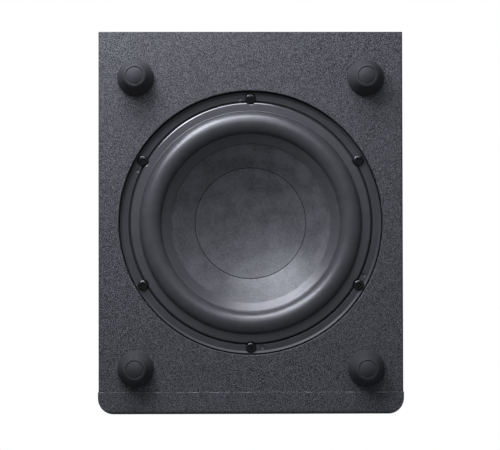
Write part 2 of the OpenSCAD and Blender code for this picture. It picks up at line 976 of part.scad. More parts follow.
module rca_block() {
    color("#1a1a1c")
        on_plate(0, rca_z)
            difference() {
                union() {
                    linear_extrude(1.5)
                        polygon(round_rect(32, 16, 1.5));
                    translate([-14, -6, -10])
                        cube([28, 12, 10 + eps]);
                }
                for (sx = [-1, 1])
                    translate([sx * rca_x, 0, -6])
                        cylinder(r = 1.6, h = 10);
            }
}

// Insulators inside the shells, with the hole for the plug's centre pin
module rca_inserts() {
    color("#c23030")
        on_plate(0, rca_z)
            for (sx = [-1, 1])
                translate([sx * rca_x, 0, 1.5])
                    difference() {
                        cylinder(r = rca_r - 0.9, h = 7.6);
                        translate([0, 0, -cut])
                            cylinder(r = 1.6, h = 10);
                    }
}

module rca_shells() {
    color("#d0d0d2")
        on_plate(0, rca_z)
            for (sx = [-1, 1])
                translate([sx * rca_x, 0, 1.5])
                    difference() {
                        cylinder(r = rca_r, h = 8);
                        translate([0, 0, -cut])
                            cylinder(r = rca_r - 0.85, h = 10);
                    }
}

// Bodies and bushings of the two rotary controls
module control_pots() {
    color("#7f8288")
        for (sx = [-1, 1])
            on_plate(sx * knob_x, knob_z)
                difference() {
                    union() {
                        translate([-8, -8, -plate_t - 9])
                            cube([16, 16, 9]);
                        translate([0, 0, -plate_t - eps])
                            cylinder(r = bush_r, h = plate_t + 6);
                    }
                    translate([0, 0, -plate_t - 6])
                        cylinder(r = shaft_r + gap, h = 20);
                }
}

module pot_nuts() {
    color("#c4c6ca")
        for (sx = [-1, 1])
            on_plate(sx * knob_x, knob_z)
                difference() {
                    union() {
                        cylinder(r = 5.6, h = 0.6);
                        translate([0, 0, 0.6 - eps])
                            cylinder(r = 5.4, h = 2, $fn = 6);
                    }
                    translate([0, 0, -cut])
                        cylinder(r = bush_r + gap, h = 5);
                }
}

// A knob with a hollow over the nut, a hole for its shaft and a pointer groove
module knob(x) {
    height = 10.5;
    color("#1c1c1e")
        on_plate(x, knob_z)
            difference() {
                rotate_extrude($fn = 64)
                    polygon(concat(
                        [[0, 1], [knob_r, 1], [knob_r, 2.4], [knob_r - 0.8, 3]],
                        arc([knob_r - 2.2, height - 1.2], 1.2, 0, 90, 3),
                        [[0, height]]
                    ));
                translate([0, 0, -cut])
                    cylinder(r = 7, h = 6.4 + cut);
                cylinder(r = shaft_r + gap / 2, h = height - 0.8);
                translate([-0.5, -knob_r - cut, height - 0.6])
                    cube([1, knob_r - 2 + cut, 2]);
            }
}

module control_shaft(x) {
    color("#c4c6ca")
        on_plate(x, knob_z)
            translate([0, 0, -plate_t - 5.6])
                cylinder(r = shaft_r, h = 17.6);
}

module volume_knob() {
    knob(knob_x);
}

module volume_shaft() {
    control_shaft(knob_x);
}

module crossover_knob() {
    knob(-knob_x);
}

module crossover_shaft() {
    control_shaft(-knob_x);
}

// Bodies of the two slide switches, each with a slot for its lever
module slide_switch_bodies() {
    color("#9b9da1")
        for (sx = [-1, 1])
            on_plate(sx * knob_x, switch_z)
                difference() {
                    translate([-9, -4, -plate_t - 6])
                        cube([18, 8, 6]);
                    translate([-lever_travel - 0.1, -lever_travel / 2, -plate_t - 4])
                        cube([2 * lever_travel + 0.2, lever_travel, 5]);
                }
}

// A slide switch's lever, resting at the low end of its slot
module switch_lever(x) {
    color("#e4e4e0")
        on_plate(x - lever_travel / 2, switch_z)
            translate([-lever_travel / 2 + 0.05, -lever_travel / 2 + 0.15, -plate_t - 3.8])
                cube([lever_travel - 0.1, lever_travel - 0.3, plate_t + 6]);
}

module phase_lever() {
    switch_lever(knob_x);
}

module auto_lever() {
    switch_lever(-knob_x);
}

module status_led() {
    color("#3bd16f")
        on_plate(0, led_z)
            rotate_extrude()
                polygon(concat([[0, -6], [1.5, -6]], arc([0, 0], 1.5, 0, 90, 5)));
}

bottom_panel();
top_panel();
left_panel();
right_panel();
front_panel();
rear_panel();
brace();
foot_front_left();
foot_front_right();
foot_rear_left();
foot_rear_right();
foot_studs();
driver_frame();
driver_gasket();
driver_screws();
trim_ring();
surround();
cone();
dust_cap();
coil_former();
voice_coil();
spider();
top_plate();
magnet();
t_yoke();
terminal_strip();
terminal_tabs();
tinsel_leads();
speaker_leads();
damping_wadding();
amp_plate();
amp_gasket();
amp_screws();
amp_back_cover();
cover_grommet();
main_board();
board_standoffs();
capacitors();
board_components();
heatsink();
transformer();
transformer_mount();
mains_leads();
power_inlet();
inlet_pins();
rocker_housing();
power_rocker();
rca_block();
rca_inserts();
rca_shells();
control_pots();
pot_nuts();
volume_knob();
volume_shaft();
crossover_knob();
crossover_shaft();
slide_switch_bodies();
phase_lever();
auto_lever();
status_led();
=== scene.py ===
"""A down-firing active subwoofer, seen from straight below.

Shapes are made in millimetres and scaled to metres.
"""

import json
import math

import bmesh
import bpy
from mathutils import Matrix, Vector, noise

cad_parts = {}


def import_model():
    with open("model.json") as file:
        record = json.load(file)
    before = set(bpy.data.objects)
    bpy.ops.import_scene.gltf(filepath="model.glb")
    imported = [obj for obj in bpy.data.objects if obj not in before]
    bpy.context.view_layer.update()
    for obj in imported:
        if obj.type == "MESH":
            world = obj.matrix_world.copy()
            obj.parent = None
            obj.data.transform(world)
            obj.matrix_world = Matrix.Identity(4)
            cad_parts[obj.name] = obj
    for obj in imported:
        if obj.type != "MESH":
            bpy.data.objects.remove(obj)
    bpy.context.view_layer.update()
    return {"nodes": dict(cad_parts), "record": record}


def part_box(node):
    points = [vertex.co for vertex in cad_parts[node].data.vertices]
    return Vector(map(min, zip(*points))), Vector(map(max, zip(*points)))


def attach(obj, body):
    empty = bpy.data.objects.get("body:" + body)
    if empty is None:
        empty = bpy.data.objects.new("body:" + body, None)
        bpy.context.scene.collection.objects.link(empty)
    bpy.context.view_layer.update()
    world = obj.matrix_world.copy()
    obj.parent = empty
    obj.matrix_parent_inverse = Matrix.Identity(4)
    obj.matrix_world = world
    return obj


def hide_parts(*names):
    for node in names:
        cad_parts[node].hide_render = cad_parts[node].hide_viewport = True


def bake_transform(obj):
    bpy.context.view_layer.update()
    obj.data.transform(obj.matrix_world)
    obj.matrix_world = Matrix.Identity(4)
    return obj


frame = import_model()

MM = 0.001


def box_mm(node):
    """Lowest and highest corner of a CAD node, in millimetres."""
    low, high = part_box(node)
    return low / MM, high / MM


# Places read from the frame, in millimetres
FLANGE_LOW, FLANGE_HIGH = box_mm("driver_frame")
FLANGE_R = FLANGE_HIGH.x
CONE_LOW, CONE_HIGH = box_mm("cone")
CONE_R = CONE_HIGH.x
Z_PLATE = box_mm("top_plate")[0].z
AMP_LOW, AMP_HIGH = box_mm("amp_plate")
Y_FACE = AMP_HIGH.y
Z_AMP = (AMP_LOW.z + AMP_HIGH.z) / 2

# Sizes that several pieces share, in millimetres
RIM_RISE = 0.9     # how far the flange's rim stands out from its face
LEDGE_DEPTH = 1.2  # how deep the surround's ledge lies in the flange
SHEET = 1.6        # thickness of the frame's steel
SPIDER_WAVE = 1.2  # half the height of the spider's waves
FORMER_R = 25.9    # outside of the voice-coil former
SCREW_CIRCLE_R = 107.5

# Heights in the driver, in millimetres
Z_FLANGE = FLANGE_LOW.z + RIM_RISE
Z_LEDGE = Z_FLANGE + LEDGE_DEPTH
Z_SPIDER = box_mm("spider")[1].z - SPIDER_WAVE

# Angles in radians, and the slope of the cone
CONE_SLOPE = math.tan(math.radians(32))
SCREW_ANGLES = [math.radians(30 + 60 * i) for i in range(6)]
SPARE_HOLE_STEP = math.radians(5.1)
SPARE_HOLE_ANGLES = [SCREW_ANGLES[i] - SPARE_HOLE_STEP for i in (0, 1, 3, 4)]
CAMERA_ROLL = math.radians(-0.1)

SHARP = 35           # edges sharper than this, in degrees, are drawn as edges
ON_AXIS = 1e-6       # a smaller radius than this is a point on the axis
CORNER_SHARE = 0.48  # the most of a side that one rounded corner takes up


# ---- Outlines ----

def rounded(points, closed=True, steps=4):
    """An outline through corners given as (x, y, rounding), each of them a short curve."""
    outline = []
    count = len(points)
    for i, (x, y, radius) in enumerate(points):
        corner = Vector((x, y))
        if radius <= 0 or (not closed and i in (0, count - 1)):
            outline.append(corner)
            continue
        back = Vector(points[i - 1][:2]) - corner
        ahead = Vector(points[(i + 1) % count][:2]) - corner
        reach = min(radius / math.tan(back.angle(ahead) / 2),
                    CORNER_SHARE * back.length, CORNER_SHARE * ahead.length)
        start = corner + back.normalized() * reach
        end = corner + ahead.normalized() * reach
        for k in range(steps + 1):
            t = k / steps
            outline.append(start * (1 - t) ** 2 + corner * 2 * t * (1 - t) + end * t * t)
    return outline


def arc(centre, radius, start, end, steps):
    """Points of an arc, from one angle to another in degrees."""
    angles = [math.radians(start + (end - start) * k / steps) for k in range(steps + 1)]
    return [Vector((centre[0] + radius * math.cos(a), centre[1] + radius * math.sin(a)))
            for a in angles]


def sheet_outline(line, thickness):
    """The closed outline of a sheet whose middle follows the line."""
    sides = ([], [])
    for i, point in enumerate(line):
        along = line[min(i + 1, len(line) - 1)] - line[max(i - 1, 0)]
        across = Vector((-along.y, along.x)).normalized() * thickness / 2
        sides[0].append(point + across)
        sides[1].append(point - across)
    return sides[0] + sides[1][::-1]


def round_rect(width, height, radius, steps=6):
    """A rectangle with round corners, around the origin."""
    outline = []
    for k, (sx, sy) in enumerate([(1, 1), (-1, 1), (-1, -1), (1, -1)]):
        centre = (sx * (width / 2 - radius), sy * (height / 2 - radius))
        outline += arc(centre, radius, 90 * k, 90 * k + 90, steps)
    return outline


# ---- Solids ----

def add_band(bm, ring, following):
    """Faces between two closed rings that have as many points each."""
    count = len(ring)
    for k in range(count):
        n = (k + 1) % count
        bm.faces.new((ring[k], ring[n], following[n], following[k]))


def add_ends(bm, first, last):
    """A face on the first ring of a solid and another on its last."""
    bm.faces.new(first[::-1])
    bm.faces.new(last)


def add_lathe(bm, outline, segments=192, closed=True, shape=None, place=None):
    """Turns an outline of (radius, height) around the local Z axis.

    shape(angle, r, z) may move each point.
    """
    place = place or Matrix.Identity(4)
    rings = []
    for r, z in outline:
        if r < ON_AXIS:
            rings.append([bm.verts.new(place @ Vector((0, 0, z)))])
            continue
        ring = []
        for k in range(segments):
            angle = 2 * math.pi * k / segments
            rr, zz = shape(angle, r, z) if shape else (r, z)
            point = Vector((rr * math.cos(angle), rr * math.sin(angle), zz))
            ring.append(bm.verts.new(place @ point))
        rings.append(ring)
    pairs = list(zip(rings, rings[1:]))
    if closed and len(rings[0]) > 1 and len(rings[-1]) > 1:
        pairs.append((rings[-1], rings[0]))
    for a, b in pairs:
        if len(a) + len(b) == 2:
            continue
        for k in range(segments):
            n = (k + 1) % segments
            loop = [a[k % len(a)], a[n % len(a)], b[n % len(b)], b[k % len(b)]]
            bm.faces.new(list(dict.fromkeys(loop)))


def add_tube(bm, path, radius, sides=12):
    """A round bar along a path of points, with closed ends."""
    normal = (path[1] - path[0]).orthogonal().normalized()
    rings = []
    last = len(path) - 1
    for i, point in enumerate(path):
        along = (path[min(i + 1, last)] - path[max(i - 1, 0)]).normalized()
        normal = (normal - along * normal.dot(along)).normalized()
        side = along.cross(normal)
        turns = [2 * math.pi * k / sides for k in range(sides)]
        spokes = [math.cos(a) * normal + math.sin(a) * side for a in turns]
        rings.append([bm.verts.new(point + radius * spoke) for spoke in spokes])
    for ring, following in zip(rings, rings[1:]):
        add_band(bm, ring, following)
    add_ends(bm, rings[0], rings[-1])


def add_prism(bm, outline, low, high, place=None):
    """A flat outline in the local XY plane, extruded from one height to another."""
    place = place or Matrix.Identity(4)
    rings = [[bm.verts.new(place @ Vector((p[0], p[1], z))) for p in outline]
             for z in (low, high)]
    add_band(bm, *rings)
    add_ends(bm, *rings)


def smooth_path(points, steps=8):
    """A smooth curve through points in space."""
    path = []
    last = len(points) - 1
    for i in range(last):
        a, b, c, d = (Vector(points[max(0, min(last, i + k))]) for k in (-1, 0, 1, 2))
        for k in range(steps):
            t = k / steps
            path.append(0.5 * (2 * b + (c - a) * t + (2 * a - 5 * b + 4 * c - d) * t ** 2
                               + (3 * b - a - 3 * c + d) * t ** 3))
    return path + [Vector(points[-1])]


def on_plate(x, z, y=None):
    """A place on the amplifier's plate, with local +Z pointing out of the back."""
    spot = Matrix.Translation(Vector((x, Y_FACE if y is None else y, z)))
    return spot @ Matrix.Rotation(math.radians(-90), 4, "X")


def make_object(name, bm, finish, sharp=SHARP):
    """Turns a millimetre bmesh into an object in metres with its normals and its finish."""
    bmesh.ops.recalc_face_normals(bm, faces=bm.faces)
    bmesh.ops.scale(bm, vec=(MM, MM, MM), verts=bm.verts)
    mesh = bpy.data.meshes.new(name)
    bm.to_mesh(mesh)
    bm.free()
    if finish:
        mesh.materials.append(finish)
    mesh.shade_smooth()
    mesh.set_sharp_from_angle(angle=math.radians(sharp))
    obj = bpy.data.objects.new(name, mesh)
    bpy.context.scene.collection.objects.link(obj)
    return obj


def piece(name, bm, slot, body="cabinet", replaces=(), sharp=SHARP, finish=None):
    """A finished piece that rides on a CAD body and may stand for CAD nodes.

    Its finish has the slot's name, unless another one is named.
    """
    obj = make_object(name, bm, FINISHES[finish or slot], sharp)
    if body:
        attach(obj, body)
    if replaces:
        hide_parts(*replaces)
    return obj


def carve(obj, cutter_bm):
    """Cuts the cutters' volume out of an object."""
    cutter = make_object(obj.name + "_cutter", cutter_bm, None)
    modifier = obj.modifiers.new("carve", "BOOLEAN")
    modifier.operation = "DIFFERENCE"
    modifier.solver = "EXACT"
    modifier.object = cutter
    bpy.context.view_layer.update()
    evaluated = obj.evaluated_get(bpy.context.evaluated_depsgraph_get())
    carved = bpy.data.meshes.new_from_object(evaluated)
    obj.modifiers.clear()
    obj.data = carved
    bpy.data.objects.remove(cutter)
    carved.set_sharp_from_angle(angle=math.radians(SHARP))


def blend_radially(obj):
    """Moves every vertex onto the X axis at its radius, bakes the object's transform, then puts
    every vertex back where it was.
    """
    rest = [v.co.copy() for v in obj.data.vertices]
    for vertex in obj.data.vertices:
        vertex.co = (vertex.co.xy.length, 0, 0)
    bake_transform(obj)
    for vertex, place in zip(obj.data.vertices, rest):
        vertex.co = place
    obj.data.update()


# ---- Finishes ----

WAVE_PERIOD = 0.314  # the length of one band of a wave texture at scale 1
# How much bluer than grey the vinyl and paint, the rubber and pulp, and the plate are
VINYL_BLUE, RUBBER_BLUE, PLATE_BLUE = 0.05, 0.04, 0.1


class Finish:
    """A procedural material around one Principled shader. Texture sizes are in millimetres."""

    def __init__(self, **sockets):
        self.material = bpy.data.materials.new("finish")
        self.material.use_nodes = True
        self.nodes = self.material.node_tree.nodes
        self.links = self.material.node_tree.links
        self.shader = self.nodes["Principled BSDF"]
        for socket, value in sockets.items():
            self.shader.inputs[socket.replace("_", " ")].default_value = value
        place = self.nodes.new("ShaderNodeTexCoord").outputs["Object"]
        self.space = self.mapped(place, (1 / MM,) * 3)

    def mapped(self, vector, scale, turn=(0, 0, 0)):
        node = self.nodes.new("ShaderNodeMapping")
        node.inputs["Scale"].default_value = scale
        node.inputs["Rotation"].default_value = turn
        self.links.new(vector, node.inputs["Vector"])
        return node.outputs["Vector"]

    def noise(self, size, detail=2.0, rough=0.5, stretch=(1, 1, 1), turn=(0, 0, 0),
              distortion=0.0):
        node = self.nodes.new("ShaderNodeTexNoise")
        node.inputs["Scale"].default_value = 1 / size
        node.inputs["Detail"].default_value = detail
        node.inputs["Roughness"].default_value = rough
        node.inputs["Distortion"].default_value = distortion
        self.links.new(self.mapped(self.space, stretch, turn), node.inputs["Vector"])
        return node.outputs["Fac"]

    def cells(self, size, feature="SMOOTH_F1", stretch=(1, 1, 1)):
        node = self.nodes.new("ShaderNodeTexVoronoi")
        node.feature = feature
        node.inputs["Scale"].default_value = 1 / size
        self.links.new(self.mapped(self.space, stretch), node.inputs["Vector"])
        return node.outputs["Distance"]

    def bands(self, size, direction, distortion=0.0):
        node = self.nodes.new("ShaderNodeTexWave")
        node.bands_direction = direction
        node.inputs["Scale"].default_value = WAVE_PERIOD / size
        node.inputs["Distortion"].default_value = distortion
        self.links.new(self.space, node.inputs["Vector"])
        return node.outputs["Fac"]

    def math(self, kind, a, b):
        node = self.nodes.new("ShaderNodeMath")
        node.operation = kind
        for socket, value in zip(node.inputs, (a, b)):
            if isinstance(value, (int, float)):
                socket.default_value = value
            else:
                self.links.new(value, socket)
        return node.outputs["Value"]

    def spread(self, value, low, high, start=0.0, end=1.0):
        node = self.nodes.new("ShaderNodeMapRange")
        sockets = ("From Min", "From Max", "To Min", "To Max")
        for socket, number in zip(sockets, (low, high, start, end)):
            node.inputs[socket].default_value = number
        self.links.new(value, node.inputs["Value"])
        return node.outputs["Result"]

    def colour(self, value, *stops):
        ramp = self.nodes.new("ShaderNodeValToRGB")
        elements = ramp.color_ramp.elements
        while len(elements) < len(stops):
            elements.new(0.5)
        for element, (place, tint) in zip(elements, stops):
            element.position = place
            element.color = (*tint, 1)
        self.links.new(value, ramp.inputs["Fac"])
        self.links.new(ramp.outputs["Color"], self.shader.inputs["Base Color"])

    def roughness(self, value, low, high):
        self.links.new(self.spread(value, 0.3, 0.7, low, high), self.shader.inputs["Roughness"])

    def bump(self, height, depth, strength=1.0):
        node = self.nodes.new("ShaderNodeBump")
        node.inputs["Distance"].default_value = depth * MM
        node.inputs["Strength"].default_value = strength
        self.links.new(height, node.inputs["Height"])
        before = self.shader.inputs["Normal"].links
        if before:
            self.links.new(before[0].from_socket, node.inputs["Normal"])
        self.links.new(node.outputs["Normal"], self.shader.inputs["Normal"])


def grey(level, blue=0.0):
    """A dark neutral tint with a little blue in it."""
    return (level, level * (1 + blue / 3), level * (1 + blue))


def pebbled_vinyl(low, high, grain, depth):
    f = Finish(Specular_IOR_Level=0.42)
    grains = f.noise(grain, detail=0)
    pebbles = f.cells(grain * 1.3, "F1")
    # The colour follows the pebbles' height: raised tops are painted light and hollows painted
    # dark. These are painted glints and shade over the vinyl's own random grain.
    mixed = f.math("SUBTRACT", f.math("ADD", grains, 0.45), pebbles)
    between = (low + high) / 2.6
    f.colour(mixed, (0.28, grey(low, VINYL_BLUE)), (0.52, grey(between, VINYL_BLUE)),
             (0.8, grey(high, VINYL_BLUE)))
    f.roughness(f.noise(40, detail=3), 0.5, 0.62)
    f.bump(mixed, depth)
    return f.material


# Pale grey for the front seam's ridge: its light colour paints the highlight along the edge, and
# its patches make that painted highlight uneven.
def painted_edge_highlight(low, high):
    f = Finish(Specular_IOR_Level=0.6)
    highlight_patches = f.noise(6, detail=4, rough=0.7, stretch=(1, 0.2, 0.2))
    f.colour(highlight_patches, (0.4, grey(low, VINYL_BLUE)), (0.62, grey(high, VINYL_BLUE)))
    f.roughness(highlight_patches, 0.42, 0.3)
    f.bump(f.noise(0.8), 0.02)
    return f.material


def bare_board():
    f = Finish(Roughness=0.85, Specular_IOR_Level=0.2)
    fibres = f.noise(1.2, detail=5, stretch=(0.4, 1, 1))
    f.colour(fibres, (0.3, (0.25, 0.16, 0.085)), (0.55, (0.40, 0.28, 0.16)),
             (0.75, (0.50, 0.37, 0.23)))
    f.bump(fibres, 0.06)
    return f.material


def rubber(low, high, rough, grain=0.8, depth=0.015, specular=0.5):
    f = Finish(Specular_IOR_Level=specular)
    mottle = f.noise(9, detail=4, rough=0.6)
    f.colour(mottle, (0.35, grey(low, RUBBER_BLUE)), (0.65, grey(high, RUBBER_BLUE)))
    f.roughness(f.noise(grain * 4, detail=3), rough - 0.05, rough + 0.05)
    f.bump(f.noise(grain, detail=3), depth)
    return f.material


def pulp(low, high, rough):
    f = Finish(Specular_IOR_Level=0.62)
    fibres = f.math("MAXIMUM", *(
        f.noise(0.9, detail=4, rough=0.65, stretch=stretch, turn=(0, 0, turn), distortion=0.6)
        for stretch, turn in (((1, 0.22, 1), 0.5), ((0.25, 1, 1), 0.35))))
    clouds = f.noise(14, detail=3)
    mixed = f.math("ADD", f.math("MULTIPLY", fibres, 0.7), f.math("MULTIPLY", clouds, 0.3))
    f.colour(mixed, (0.42, grey(low, RUBBER_BLUE)), (0.6, grey(high, RUBBER_BLUE)))
    f.roughness(fibres, rough + 0.05, rough - 0.05)
    f.bump(fibres, 0.11, 0.7)
    return f.material


def metal(low, high, rough, brushed=(1, 1, 1), size=0.8, depth=0.01):
    f = Finish(Metallic=1.0)
    strokes = f.noise(size, detail=4, rough=0.6, stretch=brushed)
    f.colour(f.noise(12, detail=3), (0.3, low), (0.7, high))
    f.roughness(strokes, rough - 0.06, rough + 0.08)
    f.bump(strokes, depth)
    return f.material


def coated_metal(low, high, rough, grain=0.5, depth=0.02, coat=0.0):
    f = Finish(Specular_IOR_Level=0.5, Coat_Weight=coat, Coat_Roughness=0.09)
    f.colour(f.noise(18, detail=3), (0.35, low), (0.65, high))
    f.roughness(f.noise(6, detail=4), rough - 0.04, rough + 0.05)
    f.bump(f.cells(grain), depth)
    return f.material


def plastic(low, high, rough, grain=0.35, depth=0.012, specular=0.5):
    f = Finish(Specular_IOR_Level=specular)
    f.colour(f.noise(10, detail=3), (0.35, low), (0.65, high))
    f.roughness(f.noise(5, detail=3), rough - 0.04, rough + 0.05)
    f.bump(f.noise(grain, detail=2), depth)
    return f.material


def cloth(low, high, thread):
    f = Finish(Roughness=0.9, Sheen_Weight=0.25, Sheen_Roughness=0.5, Specular_IOR_Level=0.2)
    warp = f.bands(thread, "X", distortion=0.6)
    weft = f.bands(thread, "Y", distortion=0.6)
    weave = f.math("MULTIPLY", f.math("ADD", warp, weft), 0.5)
    f.colour(weave, (0.2, low), (0.8, high))
    f.bump(weave, 0.12)
    return f.material


def foam(low, high):
    f = Finish(Roughness=0.95, Specular_IOR_Level=0.15)
    pores = f.cells(0.5)
    f.colour(pores, (0.2, low), (0.7, high))
    f.bump(pores, 0.15)
    return f.material


def fibre_fill():
    f = Finish(Roughness=0.95, Sheen_Weight=0.4, Sheen_Roughness=0.6, Specular_IOR_Level=0.1)
    strands = f.math(
        "MAXIMUM",
        f.noise(1.1, detail=5, stretch=(1, 0.15, 1), turn=(0, 0, 0.7), distortion=1.5),
        f.noise(1.1, detail=5, stretch=(0.15, 1, 1), turn=(0, 0, 0.3), distortion=1.5),
    )
    f.colour(strands, (0.45, (0.55, 0.55, 0.52)), (0.7, (0.80, 0.80, 0.78)))
    f.bump(strands, 0.5)
    return f.material


def circuit():
    f = Finish(Specular_IOR_Level=0.5, Coat_Weight=0.3, Coat_Roughness=0.15)
    tracks = f.spread(f.cells(5.5, "DISTANCE_TO_EDGE", stretch=(1, 1, 0.4)), 0.05, 0.09)
    f.colour(tracks, (0.3, (0.05, 0.22, 0.09)), (0.7, (0.022, 0.12, 0.045)))
    f.roughness(f.noise(8), 0.32, 0.42)
    f.bump(tracks, 0.03)
    return f.material


def wound_wire(low, high, pitch):
    f = Finish(Metallic=0.85)
    turns = f.bands(pitch, "Z")
    f.colour(turns, (0.1, low), (0.7, high))
    f.roughness(f.noise(4), 0.3, 0.42)
    f.bump(turns, pitch * 0.3)
    return f.material


def ferrite():
    f = Finish(Specular_IOR_Level=0.45)
    grain = f.noise(0.7, detail=5, rough=0.7)
    f.colour(grain, (0.35, (0.035, 0.035, 0.037)), (0.65, (0.07, 0.07, 0.073)))
    f.roughness(grain, 0.5, 0.72)
    f.bump(grain, 0.04)
    return f.material


def lens():
    f = Finish(Roughness=0.15, Transmission_Weight=0.6, IOR=1.5)
    f.colour(f.noise(1.5), (0.3, (0.03, 0.42, 0.13)), (0.7, (0.10, 0.65, 0.24)))
    f.bump(f.noise(0.6), 0.01)
    return f.material


FINISHES = {
    "cabinet_vinyl": pebbled_vinyl(0.010, 0.16, 0.44, 0.16),
    "front_vinyl": pebbled_vinyl(0.012, 0.165, 0.44, 0.15),
    # A pale finish: a painted highlight along the front seam.
    "seam_edge_painted_highlight": painted_edge_highlight(0.10, 0.45),
    "raw_board": bare_board(),
    "foot_rubber": rubber(0.038, 0.046, 0.6, grain=0.6, depth=0.012, specular=0.2),
    "zinc_steel": metal((0.52, 0.52, 0.50), (0.68, 0.68, 0.66), 0.34),
    "frame_paint": coated_metal(grey(0.040, VINYL_BLUE), grey(0.048, VINYL_BLUE), 0.38),
    "foam": foam((0.012, 0.012, 0.012), (0.03, 0.03, 0.03)),
    "black_screw": coated_metal(grey(0.003), grey(0.006), 0.14, depth=0.002, coat=0.5),
    "trim_rubber": rubber(0.052, 0.060, 0.40, grain=0.5, depth=0.008),
    "trim_gloss": rubber(0.046, 0.052, 0.16, grain=0.5, depth=0.002, specular=1.0),
    "surround_rubber": rubber(0.044, 0.054, 0.36, grain=0.5, depth=0.008, specular=0.85),
    "cone_paper": pulp(0.034, 0.094, 0.43),
    "former_film": plastic((0.42, 0.24, 0.07), (0.50, 0.30, 0.10), 0.3),
    "copper": wound_wire((0.45, 0.18, 0.08), (0.80, 0.40, 0.22), 0.4),
    "spider_cloth": cloth((0.38, 0.26, 0.10), (0.60, 0.46, 0.24), 0.7),
    "ferrite": ferrite(),
    "phenolic": plastic((0.15, 0.08, 0.035), (0.22, 0.12, 0.05), 0.4),
    "brass_tab": metal((0.68, 0.50, 0.20), (0.80, 0.64, 0.30), 0.28),
    "red_lead": plastic((0.22, 0.02, 0.02), (0.30, 0.035, 0.03), 0.42),
    "brown_lead": plastic((0.14, 0.065, 0.03), (0.20, 0.10, 0.05), 0.42),
    "wadding": fibre_fill(),
    "plate_black": coated_metal(grey(0.028, PLATE_BLUE), grey(0.036, PLATE_BLUE), 0.46,
                                depth=0.03),
    "cover_steel": metal((0.44, 0.45, 0.46), (0.56, 0.57, 0.58), 0.4, size=3),
    "black_rubber": rubber(0.014, 0.020, 0.6),
    "circuit_green": circuit(),
    "cap_sleeve": plastic((0.012, 0.024, 0.075), (0.02, 0.04, 0.12), 0.25),
    "black_part": plastic(grey(0.02), grey(0.03), 0.5),
    "bare_aluminium": metal((0.6, 0.61, 0.62), (0.7, 0.71, 0.72), 0.36, brushed=(1, 1, 0.08)),
    "toroid_tape": plastic((0.52, 0.33, 0.07), (0.66, 0.45, 0.12), 0.3),
    "black_plastic": plastic(grey(0.018), grey(0.026), 0.48, depth=0.02),
    "rocker_plastic": plastic(grey(0.014), grey(0.02), 0.28),
    "pin_nickel": metal((0.68, 0.66, 0.62), (0.80, 0.78, 0.74), 0.2),
    "socket_red": plastic((0.42, 0.018, 0.016), (0.55, 0.03, 0.026), 0.35),
    "switch_steel": metal((0.5, 0.5, 0.51), (0.6, 0.6, 0.61), 0.35),
    "lever_white": plastic((0.66, 0.66, 0.62), (0.78, 0.78, 0.74), 0.4),
    "led_green": lens(),
}
for finish_name, made in FINISHES.items():
    made.name = finish_name
for row in frame["record"]["subparts"]:
    carried = frame["nodes"][row["node"]].data
    carried.materials.clear()
    carried.materials.append(FINISHES[row["material_slot"]])


# ---- Cabinet ----

def rubber_feet():
    """Moulded feet: a dome inside a thin raised ring, and a shoulder above a steep flank."""
    for name in ("foot_front_left", "foot_front_right", "foot_rear_left", "foot_rear_right"):
        low, high = box_mm(name)
        radius = (high.x - low.x) / 2
        middle = (low + high) / 2
        height = high.z
        dome_ball = 16.8
        dome = arc((0, dome_ball), dome_ball, -90, -64.5, 10)
        flank = rounded([
            (7.5, 1.75, 0.2), (7.8, 1.25, 0.2), (8.2, 1.25, 0.25), (8.6, 1.6, 0.3), (9.5, 1.9, 1.2),
            (12.0, 8.0, 8.0), (radius, height - 3, 4.0), (radius, height, 0),
        ], closed=False, steps=6)
        bm = bmesh.new()
        add_lathe(bm, dome + flank + [Vector((0, height))], 128, closed=False,
                  place=Matrix.Translation((middle.x, middle.y, 0)))
        piece(name + "_rubber", bm, "foot_rubber", replaces=[name], sharp=50)


def front_seam():
    """The wrapped edge of the front panel, a low uneven ridge where it meets the bottom panel, in a
    pale finish that paints the highlight along it.
    """
    low, high = box_mm("front_panel")
    radius = 0.31
    steps = 240
    margin = 0.8
    half = high.x - margin
    bm = bmesh.new()
    path = []
    for k in range(steps + 1):
        x = -half + 2 * half * k / steps
        waves = noise.noise(Vector((x / 9, 0, 3)))
        ripples = noise.noise(Vector((x / 2.5, 4, 0)))
        lift = 0.10 * waves + 0.05 * ripples
        path.append(Vector((x, high.y - 0.25, low.z + 0.3 - lift)))
    add_tube(bm, path, radius)
    piece("front_panel_seam", bm, "front_vinyl", sharp=60, finish="seam_edge_painted_highlight")


# ---- Driver ----

def cone_face(r):
    """Height of the cone's face at a radius."""
    return CONE_LOW.z + (CONE_R - r) * CONE_SLOPE


def screw_spot(angle):
    """A place on the flange's screw circle."""
    return Vector((SCREW_CIRCLE_R * math.cos(angle), SCREW_CIRCLE_R * math.sin(angle), Z_FLANGE))


def frame_holes():
    """Cutters for the frame: basket windows, screw holes and the closed dimples beside them."""
    bm = bmesh.new()
    low, high = Z_FLANGE + 16.6, Z_SPIDER - 5.5
    mean_r, cut_from, cut_to = 80, 62.6, 104
    half = math.radians(20) * mean_r
    window = rounded([(-half, low, 4), (half, low, 4), (half, high, 3), (-half, high, 3)])
    for middle in SCREW_ANGLES:
        rings = []
        for r in (cut_from, cut_to):
            ring = []
            for x, z in window:
                angle = x / mean_r + middle
                ring.append(bm.verts.new((r * math.cos(angle), r * math.sin(angle), z)))
            rings.append(ring)
        add_band(bm, *rings)
        add_ends(bm, *rings)
    hole_r, through = 2.4, 2.6
    straight = [(0, -1), (hole_r, -1), (hole_r, through), (0, through)]
    dimple_r = 2.1
    dimple = [(0, -1), (dimple_r, -1), (dimple_r, 0), (1.75, 0.3), (0.9, 0.42), (0, 0.45)]
    for angles, outline in ((SCREW_ANGLES, straight), (SPARE_HOLE_ANGLES, dimple)):
        for angle in angles:
            place = Matrix.Translation(screw_spot(angle))
            add_lathe(bm, outline, 32, closed=False, place=place)
    return bm


